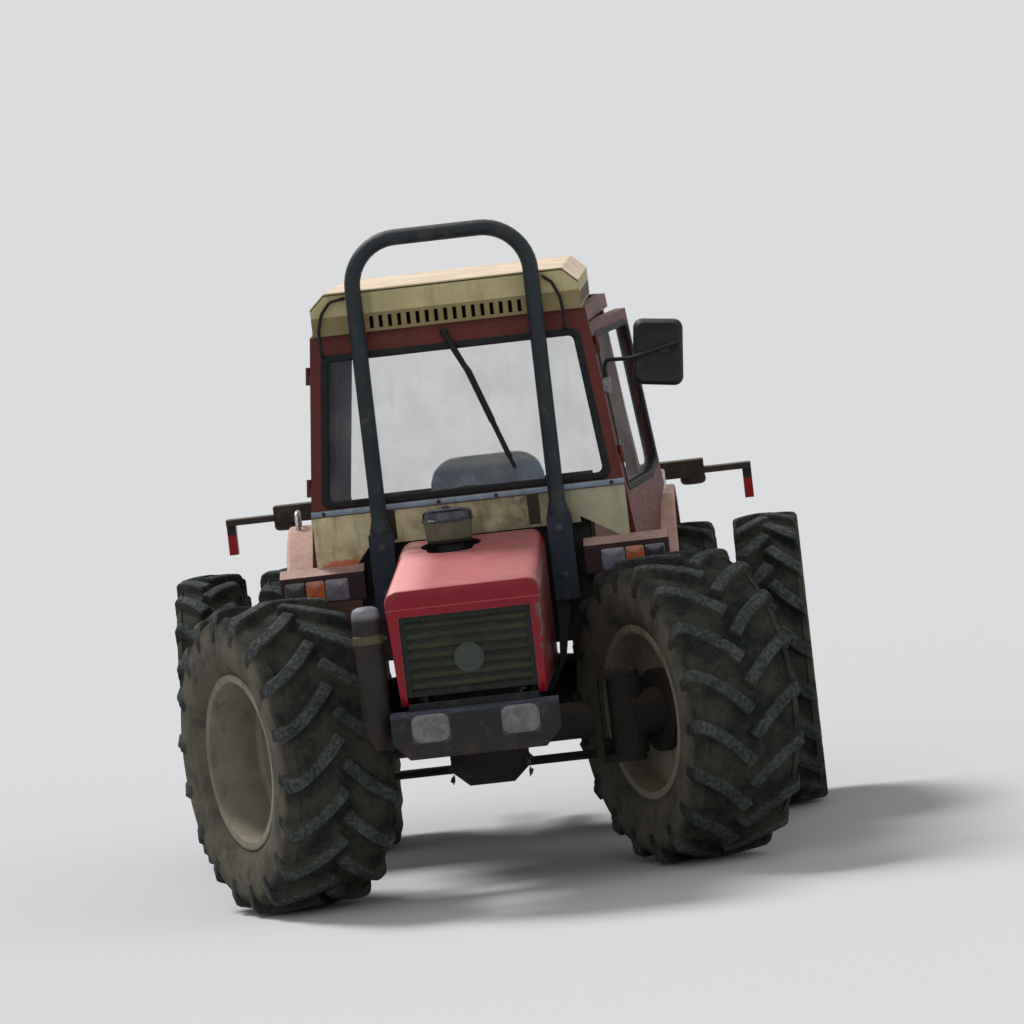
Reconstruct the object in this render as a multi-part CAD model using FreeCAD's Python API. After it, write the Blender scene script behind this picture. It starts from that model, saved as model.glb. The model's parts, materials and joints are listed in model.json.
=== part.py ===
"""Narrow four-wheel-drive hill tractor with a cab, a front roll hoop and twin rear wheels.

Millimetres. The front faces -Y, +X is the machine's left and +Z is up.
The origin is on the ground, on the centre line, half way along the machine.
"""
import FreeCAD, Part
import math
import os

from FreeCAD import Vector as V

# Wheels and axles
TYRE_D = 965.0             # outside the lugs
TYRE_W = 370.0             # section of the main tyres
TWIN_W = 215.0             # section of the outer twin tyres
LUG_H = 28.0
BEAD_D = 508.0             # rim seat
RIM_FLANGE_D = 552.0
WHEELBASE = 1410.0
REAR_TRACK = 1144.0        # between the centres of the inner rear tyres
TWIN_GAP = 60.0            # between inner and outer rear tyre
KINGPIN_X = 440.0          # half the distance between the kingpins
KINGPIN_OFFSET = 205.0     # from a kingpin to the middle of its tyre
STEER_REST = 26.0          # degrees, the wheels stand turned
STEER_LOCK = 28.0          # degrees each way from straight ahead
RIM_SHARE = 0.40           # half the rim's seat, as a share of the tyre's section
SEAT_GAP = 0.3             # between faces that seat on each other
PIN_GAP = 0.06             # radial clearance of a turning pin in its bore

# Overall stations, measured from the rear axle
FRONT_OVERHANG = 650.0     # front axle to the bumper's face
REAR_OVERHANG = 800.0      # rear axle to the ends of the lower links
HOOP_AHEAD = 985.0
BONNET_FRONT = 2000.0
BONNET_REAR = 955.0
CAB_FRONT = 930.0
CAB_REAR = 200.0           # behind the rear axle

# Bonnet
BONNET_W = 480.0
BONNET_FOOT_W = 444.0
BONNET_LOW = 636.0
BONNET_NOSE_TOP = 990.0
BONNET_BACK_TOP = 1062.0
SKIN = 16.0                # bonnet wall
GRILLE_W = 400.0
GRILLE_LOW = 660.0
GRILLE_TOP = 905.0

HOLE_HALF_X = 95.0
HOLE_FRONT = 1245.0
HOLE_REAR = 990.0
BONNET_HINGE_AHEAD = 1980.0
BONNET_HINGE_UP = 16.0     # above the bonnet's lower edge
HINGE_LUG_X = 150.0
HINGE_LUG_T = 10.0
HINGE_PIN_R = 5.0
BONNET_OPEN = 65.0         # degrees

# Roll hoop
HOOP_OD = 51.0
HOOP_WALL = 5.0
HOOP_SPREAD = 567.0        # between the legs' centre lines
HOOP_TOP = 2030.0
HOOP_BEND = 150.0
SOCKET_TOP = 1100.0
SOCKET_LOW = 830.0
SOCKET_W = 78.0

# Cab
BELT_Z = 1180.0
FLOOR_Z = 700.0
CAB_BELT_W = 1000.0        # at the belt, at the front
CAB_TOP_W = 880.0          # under the roof
HEADER_Z = 1740.0
ROOF_EDGE_Z = 1830.0
ROOF_TOP_Z = 1875.0
ROOF_W = 856.0
ROOF_TOP_W = 760.0
ROOF_FRONT = 950.0
ROOF_REAR = 225.0
POST = 42.0
GLASS = 6.0
GAP = 8.0                  # round doors
REAR_SILL_Z = 1095.0

# Rear hitch
PTO_R = 17.45
LINK_PIVOT_BEHIND = 150.0
LINK_PIVOT_Z = 440.0
ARM_PIVOT_Z = 740.0
LIFT_ARM = 300.0
LINK_PIVOT_X = 190.0
LINK_END_X = 250.0
LINK_BALL_R = 32.0
LINK_PIN_R = 11.0
LINK_BORE_R = 11.2         # in the balls at the ends
ROD_PIN_R = 9.0
ROCKSHAFT_R = 24.0
HITCH_LOW = -22.0          # degrees, from where the links stand
HITCH_HIGH = 30.0

# Seat and controls
SEAT_Y = 230.0             # ahead of the rear axle, the middle of the cushion

axle_z = TYRE_D / 2
rear_y = (WHEELBASE + FRONT_OVERHANG - REAR_OVERHANG) / 2
front_y = rear_y - WHEELBASE
twin_x = REAR_TRACK / 2 + TYRE_W / 2 + TWIN_GAP + TWIN_W / 2

NODES = {}


def ahead(distance):
    """Y of a station that lies this far ahead of the rear axle."""
    return rear_y - distance


def box(x0, x1, y0, y1, z0, z1):
    return Part.makeBox(x1 - x0, y1 - y0, z1 - z0, V(x0, y0, z0))


def rod(start, end, radius):
    """Round bar between two points."""
    a, b = V(*start), V(*end)
    return Part.makeCylinder(radius, (b - a).Length, a, b - a)


def face_of(points):
    return Part.Face(Part.makePolygon([V(*p) for p in points + points[:1]]))


def slab_x(outline, x0, x1):
    """Outline of (y, z) points, from x0 to x1."""
    return face_of([(x0, y, z) for y, z in outline]).extrude(V(x1 - x0, 0, 0))


def slab_y(outline, y0, y1):
    """Outline of (x, z) points, from y0 to y1."""
    return face_of([(x, y0, z) for x, z in outline]).extrude(V(0, y1 - y0, 0))


def slab_z(outline, z0, z1):
    """Outline of (x, y) points, from z0 to z1."""
    return face_of([(x, y, z0) for x, y in outline]).extrude(V(0, 0, z1 - z0))


def join(shapes):
    whole = shapes[0].fuse(shapes[1:]) if len(shapes) > 1 else shapes[0]
    return whole.removeSplitter()


def mirrored(shape):
    return shape.mirror(V(0, 0, 0), V(1, 0, 0))


def turned(outline):
    """Outline of (across, radius) points, turned about the X axis."""
    return face_of([(u, 0, r) for u, r in outline]).revolve(V(0, 0, 0), V(1, 0, 0), 360)


# Wheels: made about the X axis with their outer side towards +X, then put in place

def tyre(width):
    """Solid tyre section, out to the tips of its lugs."""
    w = width / 2
    top = TYRE_D / 2
    bead = BEAD_D / 2 + SEAT_GAP
    seat = width * RIM_SHARE - SEAT_GAP
    lip = RIM_FLANGE_D / 2 + 4
    sections = [
        (seat, bead), (seat, lip), (w * 0.97, lip + 22), (w, bead + 110),
        (w * 0.97, top - 42), (w * 0.90, top - 12), (w * 0.5, top),
    ]
    return turned([(-u, r) for u, r in sections] + sections[::-1])


def rim(width, disc_at, hub_hole):
    """Dished steel rim: flanges, barrel and a disc at disc_at from its middle."""
    w = width * RIM_SHARE
    seat = BEAD_D / 2
    flange = RIM_FLANGE_D / 2
    wall = 10.0
    barrel = turned([
        (-w - wall, seat - wall), (w + wall, seat - wall), (w + wall, flange),
        (w, flange), (w, seat), (-w, seat), (-w, flange), (-w - wall, flange),
    ])
    disc = turned([
        (disc_at - 7, hub_hole), (disc_at + 7, hub_hole), (disc_at + 7, seat - wall + 2),
        (disc_at - 7, seat - wall + 2),
    ])
    return join([barrel, disc])


def put_wheel(shape, x, y, turn=0.0):
    """Wheel to its place on the +X side; turn is about its own middle."""
    placed = shape.copy()
    placed.rotate(V(0, 0, 0), V(0, 0, 1), turn)
    placed.translate(V(x, y, axle_z))
    return placed


HUB_FACE = 75.0            # inboard of a main tyre's middle
HUB_R = 130.0
BOLT_CIRCLE_HOLE = 75.0    # radius of the disc's centre hole
DISC = 14.0

main_tyre = tyre(TYRE_W)
twin_tyre = tyre(TWIN_W)
main_rim = rim(TYRE_W, -HUB_FACE + DISC / 2, BOLT_CIRCLE_HOLE)
steer = math.radians(STEER_REST)
steered = {}
for side, sign in (("left", 1), ("right", -1)):
    kingpin = V(sign * KINGPIN_X, front_y, axle_z)
    axis = V(math.cos(steer), math.sin(steer), 0)
    centre = kingpin + axis * (sign * KINGPIN_OFFSET)
    facing = STEER_REST if sign > 0 else STEER_REST + 180
    steered[side] = (kingpin, facing)
    NODES[f"front_tyre_{side}"] = put_wheel(main_tyre, centre.x, centre.y, facing)
    NODES[f"front_rim_{side}"] = put_wheel(main_rim, centre.x, centre.y, facing)

rear_facing = {"left": (1, 0.0), "right": (-1, 180.0)}
spacer_r = RIM_FLANGE_D / 2 - 14
spacer_from = TYRE_W * RIM_SHARE + 10
spacer_to = TYRE_W / 2 + TWIN_GAP + TWIN_W / 2 - TWIN_W * RIM_SHARE - 10
spacer = turned([
    (spacer_from, spacer_r - 8), (spacer_to, spacer_r - 8), (spacer_to, spacer_r),
    (spacer_from, spacer_r),
])
twin_rim = rim(TWIN_W, TWIN_W * 0.2, 110.0)
for side, (sign, facing) in rear_facing.items():
    x = sign * REAR_TRACK / 2
    NODES[f"rear_tyre_{side}"] = put_wheel(main_tyre, x, rear_y, facing)
    NODES[f"rear_rim_{side}"] = put_wheel(main_rim, x, rear_y, facing)
    NODES[f"twin_tyre_{side}"] = put_wheel(twin_tyre, sign * twin_x, rear_y, facing)
    outer = twin_rim.copy()
    outer.translate(V(twin_x - REAR_TRACK / 2, 0, 0))
    NODES[f"twin_rim_{side}"] = put_wheel(join([outer, spacer]), x, rear_y, facing)

# Front axle: a cast housing with a yoke at each end, and the knuckles that steer in them
TUBE_R = 58.0
SADDLE_Z = 572.0           # where the axle meets the chassis
YOKE_EAR = 22.0
KNUCKLE_H = 240.0
KNUCKLE_R = 56.0
PIN_R = 22.0
ARM_LENGTH = 190.0         # from a kingpin back to the tie rod
TIE_ROD_Z = axle_z - 110


BULGE_R = 125.0            # differential housing
BULGE_DROP = 42.0          # its centre lies below the axle
ARM_T = 24.0
BALL_PIN_R = 9.0


def front_axle():
    half = KNUCKLE_H / 2
    yoke_in = KINGPIN_X - 95
    z = axle_z - BULGE_DROP
    bulge = turned([(-120, 0), (-120, 80), (-70, BULGE_R), (70, BULGE_R), (120, 80), (120, 0)])
    bulge.translate(V(0, front_y, z))
    parts = [bulge, rod((-yoke_in, front_y, axle_z), (yoke_in, front_y, axle_z), TUBE_R)]
    parts.append(rod((0, front_y + 60, z), (0, ahead(900), z), 52))
    for sign in (-1, 1):
        x = sign * KINGPIN_X
        web = sorted((sign * (yoke_in - 8), sign * (yoke_in + 14)))
        link = sorted((sign * yoke_in, x))
        low, high = axle_z - half - SEAT_GAP, axle_z + half + SEAT_GAP
        parts.append(box(web[0], web[1], front_y - 60, front_y + 60, low - YOKE_EAR, high + YOKE_EAR))
        for base, pin in ((low - YOKE_EAR, low - YOKE_EAR), (high, high - 30)):
            parts.append(Part.makeCylinder(48, YOKE_EAR, V(x, front_y, base)))
            parts.append(box(link[0], link[1], front_y - 40, front_y + 40, base, base + YOKE_EAR))
            parts.append(Part.makeCylinder(PIN_R, YOKE_EAR + 30, V(x, front_y, pin)))
    parts.append(box(-70, 70, front_y - 60, front_y + 60, axle_z, SADDLE_Z))
    return join(parts)


def knuckle(sign):
    """Upright between the yoke's ears, with its hub and its steering arm."""
    half = KNUCKLE_H / 2
    hub_out = KINGPIN_OFFSET - HUB_FACE - SEAT_GAP
    body = Part.makeCylinder(KNUCKLE_R, KNUCKLE_H, V(0, 0, axle_z - half))
    neck = rod((0, 0, axle_z), (hub_out - 30, 0, axle_z), 75)
    flange = rod((hub_out - 30, 0, axle_z), (hub_out, 0, axle_z), HUB_R)
    spigot = rod((hub_out, 0, axle_z), (hub_out + 60, 0, axle_z), BOLT_CIRCLE_HOLE - SEAT_GAP)
    shape = join([body, neck, flange, spigot])
    if sign < 0:
        shape = mirrored(shape)
    arm = box(-22, 22, 0, ARM_LENGTH, TIE_ROD_Z, TIE_ROD_Z + ARM_T)
    shape = join([shape, arm, Part.makeCylinder(24, ARM_T, V(0, ARM_LENGTH, TIE_ROD_Z))])
    bore = PIN_R + PIN_GAP
    for low in (axle_z - half, axle_z + half - 31):
        shape = shape.cut(Part.makeCylinder(bore, 31, V(0, 0, low)))
    shape = shape.cut(Part.makeCylinder(BALL_PIN_R + PIN_GAP, ARM_T, V(0, ARM_LENGTH, TIE_ROD_Z)))
    shape.rotate(V(0, 0, 0), V(0, 0, 1), STEER_REST)
    shape.translate(V(sign * KINGPIN_X, front_y, 0))
    return shape


def tie_rod():
    """Bar between the two steering arms, hung under them by its two pins."""
    swing = V(-math.sin(steer), math.cos(steer), 0) * ARM_LENGTH
    top = TIE_ROD_Z - SEAT_GAP
    z = top - 17
    ends = [V(s * KINGPIN_X + swing.x, front_y + swing.y, z) for s in (-1, 1)]
    parts = [rod(tuple(ends[0]), tuple(ends[1]), 14)]
    for end in ends:
        parts.append(Part.makeCylinder(22, 34, V(end.x, end.y, z - 17)))
        parts.append(Part.makeCylinder(BALL_PIN_R, ARM_T + 10, V(end.x, end.y, top - 10)))
    return join(parts)


NODES["front_axle"] = front_axle()
NODES["knuckle_left"] = knuckle(1)
NODES["knuckle_right"] = knuckle(-1)
NODES["tie_rod"] = tie_rod()

# Chassis: two cast side rails from the bumper to the gearbox, then gearbox and rear axle
RAIL_X = 165.0
RAIL_T = 30.0
RAIL_LOW = 545.0
RAIL_TOP = 620.0
ENGINE_LOW = 605.0
GEARBOX_TOP = 660.0
TAIL_TOP = 780.0


def chassis_frame():
    parts = []
    for sign in (-1, 1):
        x0, x1 = sorted((sign * (RAIL_X - RAIL_T), sign * RAIL_X))
        parts.append(box(x0, x1, ahead(1990), ahead(760), RAIL_LOW, RAIL_TOP))
    inner = RAIL_X - RAIL_T
    parts.append(box(-inner, inner, ahead(1990), ahead(1950), RAIL_LOW, RAIL_TOP))
    parts.append(box(-inner, inner, front_y - 70, front_y + 70, SADDLE_Z, ENGINE_LOW))
    y, z = ahead(BONNET_HINGE_AHEAD), BONNET_LOW + BONNET_HINGE_UP
    for sign in (-1, 1):
        x0, x1 = sorted((sign * HINGE_LUG_X, sign * (HINGE_LUG_X - HINGE_LUG_T)))
        pin_end = sign * (HINGE_LUG_X + HINGE_LUG_T + 2)
        parts.append(slab_x([(y - 3, RAIL_TOP), (y + 24, RAIL_TOP), (y + 8, z + 8), (y - 3, z + 8)], x0, x1))
        parts.append(rod((x0, y, z), (pin_end, y, z), HINGE_PIN_R) if sign > 0 else
                     rod((pin_end, y, z), (x1, y, z), HINGE_PIN_R))
    return join(parts)


def transmission():
    body = box(-135, 135, ahead(900), ahead(-60), 400, GEARBOX_TOP)
    tail = box(-120, 120, ahead(-60), ahead(-210), 420, TAIL_TOP)
    tail = tail.cut(rod((-121, ahead(-LINK_PIVOT_BEHIND), ARM_PIVOT_Z), (121, ahead(-LINK_PIVOT_BEHIND), ARM_PIVOT_Z),
                        ROCKSHAFT_R + PIN_GAP))
    shaft = rod((0, ahead(-210), 560), (0, ahead(-300), 560), PTO_R)
    reach = LINK_PIVOT_X + 16
    pin = rod((-reach, ahead(-LINK_PIVOT_BEHIND), LINK_PIVOT_Z), (reach, ahead(-LINK_PIVOT_BEHIND), LINK_PIVOT_Z), LINK_PIN_R)
    return join([body, tail, shaft, pin])


def rear_axle():
    """Trumpet housings with brake drums, from the gearbox out to the hub flanges."""
    out = REAR_TRACK / 2 - HUB_FACE - SEAT_GAP
    half = turned([(135, 0), (135, 120), (200, 95), (out - 90, 70), (out - 90, 110),
                   (out - 30, 110), (out - 30, HUB_R), (out, HUB_R), (out, BOLT_CIRCLE_HOLE - SEAT_GAP),
                   (out + 60, BOLT_CIRCLE_HOLE - SEAT_GAP), (out + 60, 0)])
    return half


NODES["chassis_frame"] = chassis_frame()
NODES["transmission_case"] = transmission()
half_axle = rear_axle()
left_half = put_wheel(half_axle, 0, rear_y)
NODES["rear_axle"] = Part.makeCompound([left_half, mirrored(left_half)])
NODES["engine_block"] = box(-130, 130, ahead(1850), ahead(960), ENGINE_LOW, 930)

# Bumper with its two headlamps
BUMPER_LIP = 620.0
BUMPER_LOW = 477.0
BUMPER_HALF = 256.0
LAMP_X = 137.0
LAMP_Z = 568.0
LAMP_W = 120.0
LAMP_H = 90.0


def bumper():
    outline = [
        (-BUMPER_HALF, BUMPER_LIP), (-BUMPER_HALF, BUMPER_LOW + 50), (-BUMPER_HALF + 49, BUMPER_LOW),
        (BUMPER_HALF - 49, BUMPER_LOW), (BUMPER_HALF, BUMPER_LOW + 50), (BUMPER_HALF, BUMPER_LIP),
    ]
    shape = slab_y(outline, ahead(2060), ahead(1990))
    for sign in (-1, 1):
        x = sign * LAMP_X
        shape = shape.cut(box(x - LAMP_W / 2 - 1, x + LAMP_W / 2 + 1, ahead(2061), ahead(2020),
                              LAMP_Z - LAMP_H / 2 - 1, LAMP_Z + LAMP_H / 2 + 1))
    return shape


def headlamps():
    lamps = []
    for sign in (-1, 1):
        x = sign * LAMP_X
        lamps.append(box(x - LAMP_W / 2, x + LAMP_W / 2, ahead(2056), ahead(2020),
                         LAMP_Z - LAMP_H / 2, LAMP_Z + LAMP_H / 2))
    return Part.makeCompound(lamps)


NODES["front_bumper"] = bumper()
NODES["headlamps"] = headlamps()

# Exhaust silencer on the right of the engine, and the air pre-cleaner through the bonnet
EXHAUST_X = -300.0
EXHAUST_AHEAD = 1965.0
EXHAUST_R = 42.0
CLEANER_X = -60.0
CLEANER_AHEAD = 1150.0
CLEANER_R = 82.0


def exhaust():
    y = ahead(EXHAUST_AHEAD)
    can = Part.makeCylinder(EXHAUST_R, 390, V(EXHAUST_X, y, 560))
    taper = Part.makeCone(20, EXHAUST_R, 50, V(EXHAUST_X, y, 510))
    pipe = rod((EXHAUST_X, y, 570), (-RAIL_X, y, 570), 20)
    return join([can, taper, pipe])


def precleaner():
    y = ahead(CLEANER_AHEAD)
    neck = Part.makeCylinder(42, 140, V(CLEANER_X, y, 930))
    bowl = Part.makeCylinder(CLEANER_R, 105, V(CLEANER_X, y, 1070))
    return join([neck, bowl])


NODES["exhaust_silencer"] = exhaust()
NODES["air_precleaner"] = precleaner()

# Bonnet: one pressed shell that tips forward, with its grille


def bonnet_section(y, half_top, half_low, top, inset):
    """Cross-section wire at a station: bottom edges up to a top with rounded shoulders."""
    r = 45.0 - inset * 0.5
    half_top, half_low, top = half_top - inset, half_low - inset, top - inset
    low = BONNET_LOW
    k = r * (1 - math.sqrt(0.5))
    line = [
        Part.LineSegment(V(-half_low, y, low), V(-half_top, y, top - r)),
        Part.Arc(V(-half_top, y, top - r), V(-half_top + k, y, top - k), V(-half_top + r, y, top)),
        Part.LineSegment(V(-half_top + r, y, top), V(half_top - r, y, top)),
        Part.Arc(V(half_top - r, y, top), V(half_top - k, y, top - k), V(half_top, y, top - r)),
        Part.LineSegment(V(half_top, y, top - r), V(half_low, y, low)),
        Part.LineSegment(V(half_low, y, low), V(-half_low, y, low)),
    ]
    return Part.Wire([edge.toShape() for edge in line])


def bonnet():
    half, foot = BONNET_W / 2, BONNET_FOOT_W / 2
    outer = Part.makeLoft([
        bonnet_section(ahead(BONNET_FRONT), half, foot, BONNET_NOSE_TOP, 0),
        bonnet_section(ahead(BONNET_REAR), half - 8, foot + 8, BONNET_BACK_TOP, 0),
    ], True, True)
    inner = Part.makeLoft([
        bonnet_section(ahead(BONNET_FRONT - SKIN), half, foot, BONNET_NOSE_TOP, SKIN),
        bonnet_section(ahead(BONNET_REAR - 5), half - 8, foot + 8, BONNET_BACK_TOP, SKIN),
    ], True, True)
    inner = inner.fuse(inner.translated(V(0, 0, -60)))
    shell = outer.cut(inner)
    shell = shell.cut(box(-GRILLE_W / 2, GRILLE_W / 2, ahead(BONNET_FRONT + 5), ahead(BONNET_FRONT - SKIN - 4),
                          GRILLE_LOW, GRILLE_TOP))
    middle = (HOLE_FRONT + HOLE_REAR) / 2
    long_half = (HOLE_FRONT - HOLE_REAR) / 2
    oval = Part.Ellipse(V(CLEANER_X, ahead(middle + long_half), 900), V(CLEANER_X + HOLE_HALF_X, ahead(middle), 900),
                        V(CLEANER_X, ahead(middle), 900)).toShape()
    hole = Part.Face(Part.Wire([oval])).extrude(V(0, 0, 300))
    shell = shell.cut(hole)
    y, z = ahead(BONNET_HINGE_AHEAD), BONNET_LOW + BONNET_HINGE_UP
    ears = []
    for sign in (-1, 1):
        x0, x1 = sorted((sign * (HINGE_LUG_X + SEAT_GAP), sign * (HINGE_LUG_X + HINGE_LUG_T)))
        ear = slab_x([(ahead(BONNET_FRONT - SKIN), z - 9), (y + 9, z - 9), (y + 9, z + 6),
                      (ahead(BONNET_FRONT - SKIN), z + 6)], x0, x1)
        ears.append(ear)
    notches = [slab_x([(ahead(BONNET_FRONT + 1), BONNET_LOW - 1), (y + 26, BONNET_LOW - 1), (y + 26, z + 12),
                       (ahead(BONNET_FRONT + 1), z + 12)], min(s * (HINGE_LUG_X + SEAT_GAP), s * (HINGE_LUG_X - HINGE_LUG_T - 3)),
                      max(s * (HINGE_LUG_X + SEAT_GAP), s * (HINGE_LUG_X - HINGE_LUG_T - 3))) for s in (-1, 1)]
    shell = join([shell.cut(notches)] + ears)
    return shell.cut(rod((-HINGE_LUG_X - 20, y, z), (HINGE_LUG_X + 20, y, z), HINGE_PIN_R + PIN_GAP))


NODES["bonnet"] = bonnet()
NODES["grille"] = box(-GRILLE_W / 2 + 0.5, GRILLE_W / 2 - 0.5, ahead(BONNET_FRONT - 4), ahead(BONNET_FRONT - SKIN),
                      GRILLE_LOW + 0.5, GRILLE_TOP - 0.5)

# Roll hoop and the sockets that hold it


def roll_hoop():
    r = HOOP_BEND
    half = HOOP_SPREAD / 2
    y = ahead(HOOP_AHEAD)
    k = r * (1 - math.sqrt(0.5))
    low = SOCKET_LOW + 60
    path = Part.Wire([edge.toShape() for edge in (
        Part.LineSegment(V(-half, y, low), V(-half, y, HOOP_TOP - r)),
        Part.Arc(V(-half, y, HOOP_TOP - r), V(-half + k, y, HOOP_TOP - k), V(-half + r, y, HOOP_TOP)),
        Part.LineSegment(V(-half + r, y, HOOP_TOP), V(half - r, y, HOOP_TOP)),
        Part.Arc(V(half - r, y, HOOP_TOP), V(half - k, y, HOOP_TOP - k), V(half, y, HOOP_TOP - r)),
        Part.LineSegment(V(half, y, HOOP_TOP - r), V(half, y, low)),
    )])
    ring = Part.Wire(Part.makeCircle(HOOP_OD / 2, V(-half, y, low), V(0, 0, 1)))
    return path.makePipeShell([ring], True, True)


def hoop_sockets():
    y = ahead(HOOP_AHEAD)
    half = HOOP_SPREAD / 2
    inner = half - SOCKET_W / 2
    foot = [(RAIL_X, RAIL_LOW), (RAIL_X, RAIL_TOP - 2), (226, RAIL_TOP - 2), (236, 632), (inner, 760),
            (inner, SOCKET_LOW + 20), (half + 10, SOCKET_LOW + 20), (half + 10, SOCKET_LOW), (275, 740),
            (256, 640), (236, 600), (205, RAIL_LOW)]
    bore = Part.makeCylinder(HOOP_OD / 2 + SEAT_GAP, 300, V(half, y, SOCKET_LOW + 60 - SEAT_GAP))
    cup = box(inner, inner + SOCKET_W, y - 38, y + 38, SOCKET_LOW, SOCKET_TOP)
    left = join([cup, slab_y(foot, y - 2, y + 38)]).cut(bore)
    return Part.makeCompound([left, mirrored(left)])


NODES["roll_hoop"] = roll_hoop()
NODES["hoop_sockets"] = hoop_sockets()

# Cab: floor, firewall, inner wings, frames, glass, roof
WALL = 12.0
PLATFORM_Z = 800.0
FENDER_R = 600.0           # arch over the rear wheels, about the rear axle
INNER_HALF = REAR_TRACK / 2 - TYRE_W / 2 - 14     # inner wings' outer face
REAR_WIDER = 58.0          # how much each side of the cab stands out at the rear post


def cab_half(z, back=0.0):
    """Half the cab's width at height z; back runs from 0 at the front to 1 at the rear post."""
    lean = (CAB_BELT_W - CAB_TOP_W) / 2 / (HEADER_Z - BELT_Z)
    return CAB_BELT_W / 2 - lean * (z - BELT_Z) + REAR_WIDER * back * 0.5


def cab_floor():
    half = INNER_HALF
    wide = CAB_BELT_W / 2 - 30
    front = ahead(CAB_FRONT - 2 - POST)
    back = ahead(-CAB_REAR + POST)
    step = ahead(430)
    arch = rear_y - math.sqrt(FENDER_R ** 2 - (FLOOR_Z - axle_z) ** 2) + 4
    floor = slab_z([(-half, front), (half, front), (wide, ahead(850)), (wide, arch), (half, arch), (half, step),
                    (-half, step), (-half, arch), (-wide, arch), (-wide, ahead(850))], FLOOR_Z - WALL, FLOOR_Z)
    firewall = box(-half, half, front, front + WALL, FLOOR_Z - WALL, BELT_Z + 10)
    riser = box(-half, half, step, step + WALL, FLOOR_Z - WALL, PLATFORM_Z)
    platform = box(-half, half, step, back, PLATFORM_Z, PLATFORM_Z + WALL)
    rear = box(-half, half, back - WALL, back, PLATFORM_Z, BELT_Z - 20)
    parts = [floor, firewall, riser, platform, rear]
    for sign in (-1, 1):
        x0, x1 = sorted((sign * (half - WALL), sign * half))
        outline = [(arch, FLOOR_Z - WALL), (step, FLOOR_Z - WALL), (step, PLATFORM_Z), (back, PLATFORM_Z),
                   (back, 1040), (ahead(250), 1040), (arch, 800)]
        parts.append(slab_x(outline, x0, x1))
    return join(parts)


def cowl():
    y0, y1 = ahead(CAB_FRONT), ahead(CAB_FRONT - 25)
    top = BELT_Z - 12
    parts = []
    outline = [(-540, top), (-540, 1010), (-370, 1010), (-270, 1130), (325, 1098), (470, 1010), (500, 1010),
               (500, top)]
    outline = [(max(-500, x), z) for x, z in outline]
    return slab_y(outline, y0, y1)


def front_frame():
    """Windscreen surround: two leaning posts, the belt bar and the header."""
    y0, y1 = ahead(CAB_FRONT - 2), ahead(CAB_FRONT - 2 - POST)
    low, high = BELT_Z - 12, HEADER_Z
    outer = [(-cab_half(low), low), (cab_half(low), low), (cab_half(high), high), (-cab_half(high), high)]
    inner_low, inner_high = low + 35, HEADER_Z - 72
    side = 46
    inner = [(-cab_half(inner_low) + side, inner_low), (cab_half(inner_low) - side, inner_low),
             (cab_half(inner_high) - side, inner_high), (-cab_half(inner_high) + side, inner_high)]
    return slab_y(outer, y0, y1).cut(slab_y(inner, y0 - 1, y1 + 1)), inner, y0, y1


def rear_frame():
    y0, y1 = ahead(-CAB_REAR + POST), ahead(-CAB_REAR)
    low, high = REAR_SILL_Z, HEADER_Z
    outer = [(-cab_half(low, 1), low), (cab_half(low, 1), low), (cab_half(high, 0.5), high), (-cab_half(high, 0.5), high)]
    inner_low, inner_high = REAR_SILL_Z + 45, HEADER_Z - 50
    side = 46
    inner = [(-cab_half(inner_low, 1) + side, inner_low), (cab_half(inner_low, 1) - side, inner_low),
             (cab_half(inner_high, 0.5) - side, inner_high), (-cab_half(inner_high, 0.5) + side, inner_high)]
    return slab_y(outer, y0, y1).cut(slab_y(inner, y0 - 1, y1 + 1)), inner, y0, y1


front_ring, screen_outline, screen_y0, screen_y1 = front_frame()
rear_ring, rear_outline, rear_glass_y0, rear_glass_y1 = rear_frame()
cab_mounts = []
for at, low, high in ((820, GEARBOX_TOP, FLOOR_Z - WALL), (-110, TAIL_TOP, PLATFORM_Z)):
    for x in (-95, 95):
        cab_mounts.append(Part.makeCylinder(20, high - low, V(x, ahead(at), low)))
NODES["cab_mounts"] = Part.makeCompound(cab_mounts)
NODES["cab_floor"] = cab_floor()
NODES["cab_cowl"] = cowl()
NODES["cab_front_frame"] = front_ring
NODES["cab_rear_frame"] = rear_ring
windscreen = slab_y(screen_outline, screen_y0 + 6, screen_y0 + 6 + GLASS)
rear_window = slab_y(rear_outline, rear_glass_y1 - 6 - GLASS, rear_glass_y1 - 6)

# Cab sides: a rail under the roof and a door post, leaning with the cab
DOOR_FRONT = CAB_FRONT - 2 - POST - GAP
DOOR_REAR = 120.0
DOOR_T = 34.0
DOOR_LOW = 720.0


def side_plate(outline, sign, out0, out1):
    """Plate with this (y, z) outline in the leaning side of the cab; out0 and out1 set its two faces."""
    reach = 60.0
    y_a, y_b = min(y for y, z in outline), max(y for y, z in outline)
    z_a, z_b = min(z for y, z in outline), max(z for y, z in outline)

    def back(y):
        return (y - ahead(DOOR_FRONT)) / (ahead(DOOR_REAR) - ahead(DOOR_FRONT))

    def edge(y, z, out):
        lean = (CAB_BELT_W - CAB_TOP_W) / 2 / (HEADER_Z - BELT_Z)
        return V(sign * (CAB_BELT_W / 2 - lean * (z - BELT_Z) + REAR_WIDER * 0.5 * back(y) + out), y, z)

    corners = [(y_a - reach, z_a - reach), (y_b + reach, z_a - reach), (y_b + reach, z_b + reach), (y_a - reach, z_b + reach)]
    wires = [Part.makePolygon([edge(y, z, out) for y, z in corners + corners[:1]]) for out in (out0, out1)]
    slab = Part.makeLoft(wires, True, True)
    stamp = slab_x(outline, sign * 200, sign * 900)
    return slab.common(stamp)


def fender_arc(y, radius):
    """Height of an arch of this radius about the rear axle."""
    return axle_z + math.sqrt(max(radius ** 2 - (y - rear_y) ** 2, 0))


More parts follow.
